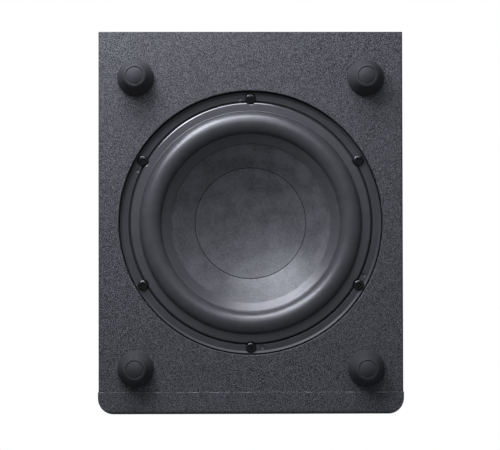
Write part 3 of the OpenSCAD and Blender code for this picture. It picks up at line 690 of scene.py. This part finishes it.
def driver_frame():
    """Pressed steel frame with an upturned rim, a ledge for the surround and a basket."""
    r, zf, zl = FLANGE_R + 0.5, Z_FLANGE, Z_LEDGE
    wall_r, basket_r, shelf_r, neck_r, plate_r, bore_r = 105.3, 92.6, 66.4, 57.6, 54, 28
    leg_top, leg_end = zf + 14.6, Z_SPIDER - 4
    outline = rounded([
        (r, zf - 0.3, 0.5), (r - 0.1, zf - RIM_RISE, 0.2), (r - 0.3, zf - RIM_RISE, 0.15),
        (r - 2.1, zf, 0.5), (wall_r + 0.1, zf, 0.3), (wall_r, zl, 0.3),
        (basket_r + 0.4, zl, 1.0), (basket_r, leg_top, 2.0), (shelf_r, leg_end, 1.5),
        (shelf_r, Z_SPIDER, 0.6), (neck_r, Z_SPIDER, 1.2), (plate_r, Z_PLATE - 2, 1.5),
        (bore_r, Z_PLATE - 2, 0.3), (bore_r, Z_PLATE, 0.3), (plate_r + 2.2, Z_PLATE, 1.5),
        (neck_r + SHEET, Z_SPIDER + SHEET, 1.2), (shelf_r + SHEET, Z_SPIDER + SHEET, 0.6),
        (shelf_r + SHEET, leg_end + 0.7, 1.5), (basket_r + SHEET, leg_top + 0.7, 2.0),
        (basket_r + SHEET, zl + SHEET, 1.0), (wall_r + 0.5, zl + SHEET, 0.3),
        (wall_r + 0.5, zf + SHEET, 0.3), (r, zf + SHEET, 0.3),
    ])
    bm = bmesh.new()
    add_lathe(bm, outline, 288)
    obj = make_object("driver_frame_pressing", bm, FINISHES["frame_paint"])
    carve(obj, frame_holes())
    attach(obj, "cabinet")
    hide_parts("driver_frame")


def scallop(angle, outer_r, clearance=5.1):
    """How far a ring's outer edge draws in at an angle to clear the screw heads."""
    nearest = min(abs(math.remainder(angle - a, 2 * math.pi)) for a in SCREW_ANGLES)
    aside = SCREW_CIRCLE_R * math.sin(nearest)
    if aside >= clearance:
        return 0.0
    edge = SCREW_CIRCLE_R * math.cos(nearest) - math.sqrt(clearance ** 2 - aside ** 2)
    return max(0.0, outer_r - edge)


def trim_ring():
    """Flat ring cut back around the screw heads, its glossy bevel, and a near-black ring on the
    ledge beside it that makes the gap dark.
    """
    low, high = box_mm("trim_ring")
    r_in, r_out, dark_gap_out = 95.7, 103.6, 105.05
    middle = (r_in + r_out) / 2
    edge = r_out - 0.9
    outline = rounded([
        (r_in, low.z + 0.2, 0.3), (r_in + 0.35, low.z - 0.35, 0.2), (r_in + 1.1, low.z, 0.25),
        (edge, low.z, 0.1), (edge, high.z, 0.1), (r_in, high.z, 0.1)])

    def notched(angle, r, z):
        return (r - scallop(angle, r_out) if r > middle else r), z

    bm = bmesh.new()
    add_lathe(bm, outline, 720, shape=notched)
    piece("trim_ring_moulding", bm, "trim_rubber", replaces=["trim_ring"])
    bead = rounded([
        (edge - 0.05, low.z - 0.06, 0.1), (r_out, low.z + 0.42, 0.12), (r_out, high.z, 0.1),
        (edge - 0.05, high.z, 0.1)])
    bm = bmesh.new()
    add_lathe(bm, bead, 720, shape=notched)
    piece("trim_ring_bead", bm, "trim_rubber", finish="trim_gloss")
    # A near-black ring on the ledge between the trim ring and the frame's wall, which makes the gap
    # there dark.
    dark_gap_outline = rounded([
        (r_out - 0.2, Z_LEDGE - 0.02, 0), (r_out - 0.2, Z_LEDGE - 0.5, 0.2),
        (dark_gap_out, Z_LEDGE - 0.5, 0.2), (dark_gap_out, Z_LEDGE - 0.02, 0)])
    bm = bmesh.new()
    add_lathe(bm, dark_gap_outline, 192)
    piece("dark_gap_ring", bm, "foam")


def surround():
    """Rubber surround: an outer lip, a half roll towards the floor and a lip on the cone."""
    thick = 1.0
    lip_r, still_r, glue_r = 102.3, 97, 69.5
    foot_out, foot_in = 95.8, 77.7
    apex_z = box_mm("surround")[0].z + thick / 2
    chord_z = Z_LEDGE - 0.5
    half = (foot_out - foot_in) / 2
    rise = chord_z - apex_z
    radius = (half ** 2 + rise ** 2) / (2 * rise)
    centre = ((foot_out + foot_in) / 2, apex_z + radius)
    dip = math.degrees(math.asin((chord_z - centre[1]) / radius))
    roll = [(p.x, p.y, 0.0) for p in arc(centre, radius, dip, -180 - dip, 40)]
    line = rounded(
        [(lip_r, chord_z, 0), (foot_out + 0.5, chord_z, 0.7)] + roll[1:-1]
        + [(foot_in - 0.3, chord_z + 1.0, 0.8), (CONE_R + 0.2, cone_face(CONE_R) - 0.55, 0.7),
           (glue_r, cone_face(glue_r) - 0.2, 0)],
        closed=False, steps=5)
    bm = bmesh.new()
    add_lathe(bm, sheet_outline(line, thick), 256)
    obj = piece("surround_roll", bm, "surround_rubber", body=None,
                replaces=["surround"], sharp=60)
    blend_radially(obj)


def cone_and_cap():
    """Pulp cone, the dished cap on its face, and a thin ring of glue around the cap, near-black so
    that it paints the shade of the groove at the cap's edge.
    """
    back = 1.06
    outline = rounded([
        (CONE_R, cone_face(CONE_R), 0.3), (CONE_R, cone_face(CONE_R) + back, 0.3),
        (FORMER_R, cone_face(FORMER_R) + back, 0), (FORMER_R, cone_face(FORMER_R), 0)])
    bm = bmesh.new()
    add_lathe(bm, outline, 256)
    piece("cone_body", bm, "cone_paper", "cone_assembly", ["cone"])

    low, high = box_mm("dust_cap")
    cap_r = high.x
    thick = 0.5
    sag = high.z - low.z - thick
    rim_z = cone_face(cap_r) - 0.3
    ball = (cap_r ** 2 + sag ** 2) / (2 * sag)
    middle = (0, rim_z + sag - ball)
    edge = math.degrees(math.acos(cap_r / ball))
    upper = arc(middle, ball + thick, 90, edge + 1, 24)
    lower = arc(middle, ball, edge, 90, 24)
    rim = [Vector((cap_r + 0.1, rim_z + 0.25))]
    bm = bmesh.new()
    add_lathe(bm, upper + rim + lower, 256, closed=False)
    piece("dust_cap_dish", bm, "cone_paper", "cone_assembly", ["dust_cap"], sharp=60)

    # The glue ring is near-black: it paints the shade of the groove between the cap and the cone.
    glue = 0.3
    bm = bmesh.new()
    add_lathe(bm, arc((cap_r + glue, cone_face(cap_r + glue) - 0.05), glue, 0, 345, 15), 256)
    piece("dust_cap_glue_and_shade", bm, "foam", "cone_assembly")


def voice_coil():
    """Enamelled wire wound on the former: each turn shows as a ridge."""
    low, high = box_mm("voice_coil")
    turns, steps, groove = 40, 4, 0.12
    pitch = (high.z - low.z) / turns
    outer = []
    for k in range(turns * steps + 1):
        phase = (k % steps) / steps
        r = high.x - groove * (1 - math.sin(math.pi * phase))
        outer.append(Vector((r, low.z + k * pitch / steps)))
    bm = bmesh.new()
    add_lathe(bm, outer + [Vector((FORMER_R, high.z)), Vector((FORMER_R, low.z))], 96)
    piece("voice_coil_winding", bm, "copper", "cone_assembly", ["voice_coil"], sharp=60)


def spider():
    """Corrugated cloth between the former and the frame."""
    collar, rim = 25.95, box_mm("spider")[1].x
    wave_in, wave_out, waves = 29, 55, 4
    middle_z = Z_SPIDER - 0.3
    line = [Vector((collar + 0.3, Z_SPIDER - 1.5)), Vector((collar + 0.5, Z_SPIDER - 0.8)),
            Vector((collar + 1.6, Z_SPIDER - 0.35))]
    steps = waves * 12
    for k in range(steps + 1):
        line.append(Vector((
            wave_in + (wave_out - wave_in) * k / steps,
            middle_z + SPIDER_WAVE * math.sin(2 * math.pi * waves * k / steps),
        )))
    line.append(Vector((rim, middle_z)))
    bm = bmesh.new()
    add_lathe(bm, sheet_outline(line, 0.55), 192)
    obj = piece("spider_cloth_disc", bm, "spider_cloth", body=None,
                replaces=["spider"], sharp=60)
    blend_radially(obj)


def tinsel_leads():
    """Braided leads from the tabs to the back of the cone."""
    tab_x, tab_y = 6, 75
    strands, strand_r, twist_step = 3, 0.4, 0.55
    bm = bmesh.new()
    for sx in (-1, 1):
        path = smooth_path([
            (sx * tab_x, tab_y, Z_SPIDER - 1.3), (sx * tab_x, tab_y - 1, Z_SPIDER - 5),
            (sx * (tab_x + 1), tab_y - 6, Z_SPIDER - 10),
            (sx * (tab_x + 1), tab_y - 14, Z_SPIDER - 12),
            (sx * tab_x, tab_y - 21, Z_SPIDER - 17)], 16)
        last = len(path) - 1
        for strand in range(strands):
            twist = []
            for i, point in enumerate(path):
                a = twist_step * i + strand * 2 * math.pi / strands
                along = (path[min(i + 1, last)] - path[max(i - 1, 0)]).normalized()
                u = along.cross(Vector((1, 0.3, 0))).normalized()
                twist.append(point + strand_r * (math.cos(a) * u + math.sin(a) * along.cross(u)))
            add_tube(bm, twist, strand_r, 8)
    obj = piece("tinsel_braid", bm, "copper", body=None, replaces=["tinsel_leads"], sharp=60)
    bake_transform(obj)


def add_shank(bm, place, core_r, shank, pitch):
    """A threaded shank below the plane z = 0."""
    steps, sunk = 8, 0.05
    rows = int(shank / pitch * steps)
    outline = [Vector((0, -shank - 1.5 * core_r))]
    outline += [Vector((core_r, -shank + k * pitch / steps)) for k in range(rows)]
    outline += [Vector((core_r, sunk)), Vector((0, sunk))]

    def thread(angle, r, z):
        if z > -0.8 * pitch:
            return r, z
        phase = ((z / pitch - angle / (2 * math.pi)) % 1.0) - 0.5
        return r + 0.22 * core_r * max(0.0, 1 - abs(phase) * 3.2), z

    add_lathe(bm, outline, 24, closed=False, shape=thread, place=place)


def screw_head(head_r, head_h):
    """A pan head with a rounded shoulder and a tapered cross recess, a mesh on z = 0."""
    foot = 0.15
    shoulder = min(0.45 * head_r, 0.82 * head_h)
    dome = arc((head_r - shoulder, 0.93 * head_h - shoulder), shoulder, 0, 82, 10)
    outline = [Vector((0, 0)), Vector((head_r - foot, 0)), Vector((head_r, foot))]
    bm = bmesh.new()
    add_lathe(bm, outline + dome + [Vector((0, head_h))], 64, closed=False)
    head = make_object("screw_head", bm, None)

    top, bottom = 0.6 * head_r, 0.25 * head_r
    wide, narrow = 0.17 * head_r, 0.08 * head_r
    clear, deep = head_h + 0.3, 0.3 * head_h
    corners = [(-top, clear, wide), (top, clear, wide), (bottom, deep, narrow),
               (-bottom, deep, narrow)]
    for turn in (0, math.pi / 2):
        spin = Matrix.Rotation(turn, 4, "Z")
        cutter = bmesh.new()
        front = [cutter.verts.new(spin @ Vector((x, y, z))) for x, z, y in corners]
        rear = [cutter.verts.new(spin @ Vector((x, -y, z))) for x, z, y in corners]
        add_band(cutter, front, rear)
        add_ends(cutter, front, rear)
        carve(head, cutter)
    mesh = head.data
    bpy.data.objects.remove(head)
    return mesh


def screws(name, places, head_r, head_h, core_r, shank, pitch, node):
    """A set of identical screws as one piece. Each place has local +Z out of the surface."""
    head = screw_head(head_r, head_h)
    bm = bmesh.new()
    for place in places:
        first = len(bm.verts)
        bm.from_mesh(head)
        bm.verts.ensure_lookup_table()
        for vertex in bm.verts[first:]:
            vertex.co = place @ (vertex.co / MM)
        add_shank(bm, place, core_r, shank, pitch)
    bpy.data.meshes.remove(head)
    piece(name, bm, "black_screw", replaces=[node], sharp=32)


def driver_screws():
    """The six screws of the driver's flange, each stopped at an angle of its own."""
    places = []
    for i, angle in enumerate(SCREW_ANGLES):
        turned = Matrix.Rotation(math.pi, 4, "X") @ Matrix.Rotation(0.4 + 0.9 * i, 4, "Z")
        places.append(Matrix.Translation(screw_spot(angle)) @ turned)
    screws("driver_screw_set", places, head_r=4.6, head_h=2.4, core_r=1.45, shank=10.5, pitch=1.6,
           node="driver_screws")


# ---- Inside ----

def leads():
    """Insulated leads from the amplifier to the driver, and from the inlet to the switch."""
    grommet_low, grommet_high = box_mm("cover_grommet")
    gx = (grommet_low.x + grommet_high.x) / 2
    gz = (grommet_low.z + grommet_high.z) / 2
    gy = grommet_low.y
    top_z = box_mm("terminal_tabs")[1].z
    bm = bmesh.new()
    for sx in (-1, 1):
        path = smooth_path([
            (gx + sx * 2, gy + 10, gz), (gx + sx * 2, gy - 1, gz), (gx + sx * 2, gy - 4, gz),
            (-50 + sx * 2, 75, gz - 14), (-32 + sx * 3, 74, gz - 42),
            (-14 + sx * 5, 75, top_z + 20), (sx * 6, 75, top_z + 7),
            (sx * 6, 75, top_z + 0.5)], 12)
        add_tube(bm, path, 1.3, 14)
    piece("speaker_lead_pair", bm, "red_lead", replaces=["speaker_leads"], sharp=60)

    inlet_low, inlet_high = box_mm("inlet_pins")
    rocker_low, rocker_high = box_mm("rocker_housing")
    inlet_x, mains_z = (inlet_low.x + inlet_high.x) / 2, (inlet_low.z + inlet_high.z) / 2
    rocker_x = (rocker_low.x + rocker_high.x) / 2
    tab_end = inlet_low.y
    bm = bmesh.new()
    for sx in (-1, 1):
        path = smooth_path([
            (inlet_x + sx * 4.3, tab_end - 0.6, mains_z),
            (inlet_x + sx * 4.3 + 1, tab_end - 3, mains_z - 2),
            (inlet_x + 22 + sx * 2, tab_end - 4, mains_z - 6 + sx * 2),
            (rocker_x - 8, tab_end - 4, mains_z - 3 + sx * 3),
            (rocker_x - 1, tab_end - 3, mains_z + sx * 5),
            (rocker_x, tab_end + 3.4, mains_z + sx * 5)], 12)
        add_tube(bm, path, 1.2, 14)
    piece("mains_lead_pair", bm, "brown_lead", replaces=["mains_leads"], sharp=60)


def wadding():
    """A fluffy batt of polyester under the top panel."""
    low, high = box_mm("damping_wadding")
    size = high - low
    middle = (low + high) / 2
    cells = (36, 44, 8)
    bm = bmesh.new()
    bmesh.ops.create_cube(bm, size=1)
    bmesh.ops.scale(bm, vec=size, verts=bm.verts)
    for axis, count in enumerate(cells):
        edges = [e for e in bm.edges
                 if abs((e.verts[0].co - e.verts[1].co).normalized()[axis]) > 0.9]
        bmesh.ops.subdivide_edges(bm, edges=edges, cuts=count - 1, use_grid_fill=True)
    for vertex in bm.verts:
        share = Vector(abs(vertex.co[i]) / (size[i] / 2) for i in range(3))
        lumps = noise.noise(vertex.co / 26) + 0.5 * noise.noise(vertex.co / 9 + Vector((5, 0, 0)))
        pull = 1 - 0.035 * share.x ** 6 * share.y ** 6
        vertex.co.x *= pull - 0.012 * (1 + lumps)
        vertex.co.y *= pull - 0.010 * (1 + lumps)
        edge = max(share.x, share.y) ** 14
        vertex.co.z = (vertex.co.z * (1 - 0.45 * edge - 0.07 * (1 + lumps))
                       + 0.03 * size.z * (1 - edge))
    bmesh.ops.translate(bm, verts=bm.verts, vec=middle)
    obj = piece("wadding_batt", bm, "wadding", replaces=["damping_wadding"], sharp=180)


def transformer():
    """Toroid wound with tape: its skin has one low ridge for each turn of the tape."""
    low, high = box_mm("transformer")
    outer_r = (high.x - low.x) / 2
    inner_r, edge, ridge, slant = 12, 6, 0.35, 0.35
    height = high.y - low.y
    tape_turns = 46
    ring = []
    for centre, start in (((outer_r - edge, edge), -90), ((outer_r - edge, height - edge), 0),
                          ((inner_r + edge, height - edge), 90), ((inner_r + edge, edge), 180)):
        ring += arc(centre, edge, start, start + 90, 6)
    core = Vector(((outer_r + inner_r) / 2, height / 2))

    def taped(angle, r, z):
        lean = math.atan2(z - core.y, r - core.x) * slant
        fold = (tape_turns * (angle + lean / tape_turns * 3) / (2 * math.pi)) % 1.0
        inward = (core - Vector((r, z))).normalized() * ridge * fold
        return r + inward.x, z + inward.y

    bm = bmesh.new()
    place = on_plate((low.x + high.x) / 2, (low.z + high.z) / 2, low.y)
    add_lathe(bm, ring, tape_turns * 8, shape=taped, place=place)
    piece("transformer_winding", bm, "toroid_tape", replaces=["transformer"], sharp=40)


def board_parts():
    """Electrolytic capacitors with a crimped neck, and a wound choke."""
    board_y = box_mm("main_board")[0].y
    mount = Matrix.Rotation(math.radians(90), 4, "X")
    bm = bmesh.new()
    large = [(x, Z_AMP + 60, 11, 30) for x in (-60, -34, -8)]
    small = [(x, Z_AMP + 30, 5, 13) for x in (-66, -50)]
    for x, z, r, h in large + small:
        outline = rounded([
            (0, 0, 0), (r - 0.3, 0, 0.5), (r, 0.6, 0.3), (r, 2.2, 0.5), (r - 0.6, 2.8, 0.5),
            (r, 3.4, 0.5), (r, h, 0.8), (r - 1.4, h, 0.3), (r - 1.7, h - 0.5, 0.2),
            (0, h - 0.5, 0)], closed=False)
        add_lathe(bm, outline, 64, closed=False,
                  place=Matrix.Translation((x, board_y, z)) @ mount)
    piece("capacitor_cans", bm, "cap_sleeve", replaces=["capacitors"])

    bm = bmesh.new()
    x, z, r_ring, r_wire = 10, Z_AMP + 34, 8.0, 3.9
    turns, steps, wound = 26, 14, 0.9
    middle = Matrix.Translation((x, board_y - 4.9, z)) @ mount
    path = []
    for k in range(turns * steps):
        a = 2 * math.pi * k / (turns * steps) * wound
        b = 2 * math.pi * k / steps
        r = r_ring + r_wire * math.cos(b)
        point = Vector((r * math.cos(a), r * math.sin(a), (r_wire + 1.0) * math.sin(b)))
        path.append(middle @ point)
    add_tube(bm, path, 0.45, 8)
    piece("choke_winding", bm, "copper", sharp=60)


# ---- Amplifier panel ----

def knobs():
    """Fluted control knobs with a painted pointer."""
    flutes, flute_depth, shaft_r, hollow_r = 40, 0.38, 3.02, 7
    for name, body in (("volume_knob", "volume_control"), ("crossover_knob", "crossover_control")):
        low, high = box_mm(name)
        r = (high.x - low.x) / 2
        middle = (low + high) / 2
        base, top = low.y - Y_FACE, high.y - Y_FACE
        outline = rounded([
            (shaft_r, base + 5.4, 0), (hollow_r, base + 5.4, 0.2), (hollow_r, base, 0.3),
            (r, base, 0.4), (r, base + 1.3, 0.3), (r - 0.7, base + 1.9, 0.4), (r - 1.0, top, 1.2),
            (r - 3.2, top, 0.5), (r - 3.8, top - 0.5, 0.5), (0, top - 0.5, 0), (0, top - 0.8, 0),
            (shaft_r, top - 0.8, 0.1)], closed=False, steps=5)

        def fluted(angle, rr, z):
            if rr < r - 2.4 or z < base + 2.0:
                return rr, z
            return rr - flute_depth * (0.5 + 0.5 * math.cos(flutes * angle)), z

        bm = bmesh.new()
        place = on_plate(middle.x, middle.z)
        add_lathe(bm, outline, flutes * 8, closed=False, shape=fluted, place=place)
        piece(name + "_moulding", bm, "black_plastic", body, [name], sharp=40)

        bm = bmesh.new()
        bar = [(p.x, p.y - (r - 3.6)) for p in round_rect(1.1, 5.2, 0.5)]
        add_prism(bm, bar, top - 0.6, top - 0.12, place)
        piece(name + "_pointer", bm, "lever_white", body)


def panel_marks():
    """Printed marks on the plate: a scale around each knob and a frame around each group."""
    ink, sunk = 0.12, -0.02
    marks, scale_r = 11, 13.2
    bm = bmesh.new()
    for name in ("volume_knob", "crossover_knob"):
        low, high = box_mm(name)
        middle = (low + high) / 2
        for k in range(marks):
            angle = math.radians(-150 + 30 * k)
            length = 3.2 if k % 5 == 0 else 2.0
            place = on_plate(middle.x, middle.z) @ Matrix.Rotation(angle, 4, "Z")
            bar = [(p.x, p.y - scale_r - length / 2) for p in round_rect(0.7, length, 0.3, 3)]
            add_prism(bm, bar, sunk, ink, place)
    for name, margin in (("rca_block", 7), ("rocker_housing", 5), ("power_inlet", 5)):
        low, high = box_mm(name)
        middle = (low + high) / 2
        width, height = high.x - low.x + 2 * margin, high.z - low.z + 2 * margin
        outer = round_rect(width, height, 3)
        inner = round_rect(width - 1, height - 1, 2.5)
        place = on_plate(middle.x, middle.z)
        rings = [[bm.verts.new(place @ Vector((p.x, p.y, h))) for p in line]
                 for line, h in ((outer, sunk), (outer, ink), (inner, ink), (inner, sunk))]
        for ring, following in zip(rings, rings[1:] + rings[:1]):
            add_band(bm, ring, following)
    piece("panel_print", bm, "lever_white")


def sockets():
    """RCA insulators, one red and one white, inside the plated shells."""
    low, high = box_mm("rca_inserts")
    z = (low.z + high.z) / 2
    length = high.y - low.y
    shell_r, pin_r = 3.25, 1.6
    for side, x, slot in (("left", -7, "lever_white"), ("right", 7, "socket_red")):
        outline = rounded([
            (pin_r, 0, 0), (shell_r, 0, 0), (shell_r, length, 0.3), (2.4, length, 0.2),
            (2.2, length - 0.6, 0.2), (pin_r, length - 0.6, 0.1)])
        bm = bmesh.new()
        add_lathe(bm, outline, 64, place=on_plate(x, z, low.y))
        piece("rca_insert_" + side, bm, slot, replaces=["rca_inserts"])


def amp_screws():
    """Two columns of five screws along the plate's sides."""
    high = box_mm("amp_screws")[1]
    head_r = 3.5
    x_at = high.x - head_r
    z_step = (high.z - head_r - Z_AMP) / 2
    places = []
    for i, sx in enumerate((-1, 1)):
        for k in range(-2, 3):
            turned = Matrix.Rotation(0.7 * k + 1.3 * i, 4, "Z")
            places.append(on_plate(sx * x_at, Z_AMP + k * z_step) @ turned)
    screws("amp_screw_set", places, head_r=head_r, head_h=2.0, core_r=1.3, shank=14, pitch=1.4,
           node="amp_screws")


# ---- Stage ----

def one_sided_white(name, level, glow):
    """A pale finish that shows only from its front side, with a glow of its own."""
    material = bpy.data.materials.new(name)
    material.use_nodes = True
    nodes, links = material.node_tree.nodes, material.node_tree.links
    shader = nodes["Principled BSDF"]
    shader.inputs["Base Color"].default_value = (level, level, level, 1)
    shader.inputs["Roughness"].default_value = 0.9
    shader.inputs["Emission Color"].default_value = (1, 1, 1, 1)
    shader.inputs["Emission Strength"].default_value = glow
    clear = nodes.new("ShaderNodeBsdfTransparent")
    side = nodes.new("ShaderNodeNewGeometry")
    mix = nodes.new("ShaderNodeMixShader")
    links.new(side.outputs["Backfacing"], mix.inputs["Fac"])
    links.new(shader.outputs["BSDF"], mix.inputs[1])
    links.new(clear.outputs["BSDF"], mix.inputs[2])
    links.new(mix.outputs["Shader"], nodes["Material Output"].inputs["Surface"])
    return material


def floor():
    """A wide pale floor that the light passes through."""
    half_side = 3
    bm = bmesh.new()
    bmesh.ops.create_grid(bm, x_segments=1, y_segments=1, size=half_side / MM)
    obj = make_object("floor", bm, one_sided_white("floor_white", 0.85, 0.6))
    obj.visible_shadow = False
    obj.visible_diffuse = False
    obj.visible_glossy = False
    obj.visible_transmission = False


def world(ambient):
    """White behind the object, and a dim even light on it."""
    scene_world = bpy.data.worlds.new("studio")
    bpy.context.scene.world = scene_world
    scene_world.use_nodes = True
    nodes, links = scene_world.node_tree.nodes, scene_world.node_tree.links
    backdrop = nodes["Background"]
    backdrop.inputs["Color"].default_value = (1, 1, 1, 1)
    backdrop.inputs["Strength"].default_value = 1.0
    dim = nodes.new("ShaderNodeBackground")
    dim.inputs["Color"].default_value = (0.93, 0.96, 1.10, 1)
    dim.inputs["Strength"].default_value = ambient
    path = nodes.new("ShaderNodeLightPath")
    mix = nodes.new("ShaderNodeMixShader")
    links.new(path.outputs["Is Camera Ray"], mix.inputs["Fac"])
    links.new(dim.outputs["Background"], mix.inputs[1])
    links.new(backdrop.outputs["Background"], mix.inputs[2])
    links.new(mix.outputs["Shader"], nodes["World Output"].inputs["Surface"])


def soft_light(name, place, target, size, power, tint=(1, 1, 1)):
    """A round lamp in metres and watts that doesn't show in the view itself."""
    data = bpy.data.lights.new(name, "AREA")
    data.shape = "DISK"
    data.size = size
    data.energy = power
    data.color = tint
    obj = bpy.data.objects.new(name, data)
    obj.location = place
    obj.rotation_mode = "QUATERNION"
    obj.rotation_quaternion = (Vector(target) - Vector(place)).to_track_quat("-Z", "Y")
    obj.visible_camera = False
    bpy.context.scene.collection.objects.link(obj)


def camera():
    """Below the driver, a degree off its axis, with the front panel at the view's bottom."""
    data = bpy.data.cameras.new("camera")
    data.lens = 125.6
    data.sensor_width = 36
    obj = bpy.data.objects.new("camera", data)
    place, target = Vector((0.018, -0.028, -1.48)), Vector((0.0007, -0.0020, 0.02))
    ahead = (target - place).normalized()
    across = ahead.cross(Vector((0, 1, 0))).normalized()
    turn = Matrix((across, across.cross(ahead), -ahead)).transposed()
    obj.location = place
    obj.rotation_euler = (turn @ Matrix.Rotation(CAMERA_ROLL, 3, "Z")).to_euler()
    bpy.context.scene.collection.objects.link(obj)
    bpy.context.scene.camera = obj


def studio():
    """Cool lamps under the object, plain lamps above it, and a white floor and backdrop."""
    bpy.context.scene.view_settings.view_transform = "Standard"
    underside = (0, 0, 0.02)
    centre = (0, 0, 0.2)
    cool = (0.95, 0.965, 1.10)
    soft_light("key_below", (0.05, 0.63, -0.70), underside, 0.85, 2.8, cool)
    soft_light("key_left", (0.45, 0.62, -0.55), underside, 0.32, 3.7, cool)
    soft_light("rear_far", (0.05, 0.95, -0.38), underside, 0.5, 4.3, cool)
    soft_light("low_rear", (0.185, 0.378, -0.105), underside, 0.2, 1.1, cool)
    soft_light("top_left", (-0.75, -0.75, 1.7), centre, 0.9, 30)
    soft_light("top_right", (0.95, -0.45, 1.6), centre, 0.9, 16)
    soft_light("top_rear", (0.5, 0.95, 1.7), centre, 0.9, 26)
    world(0.175)
    floor()


camera()
studio()
rubber_feet()
front_seam()
driver_frame()
trim_ring()
surround()
cone_and_cap()
voice_coil()
spider()
tinsel_leads()
driver_screws()
leads()
wadding()
transformer()
board_parts()
knobs()
panel_marks()
sockets()
amp_screws()
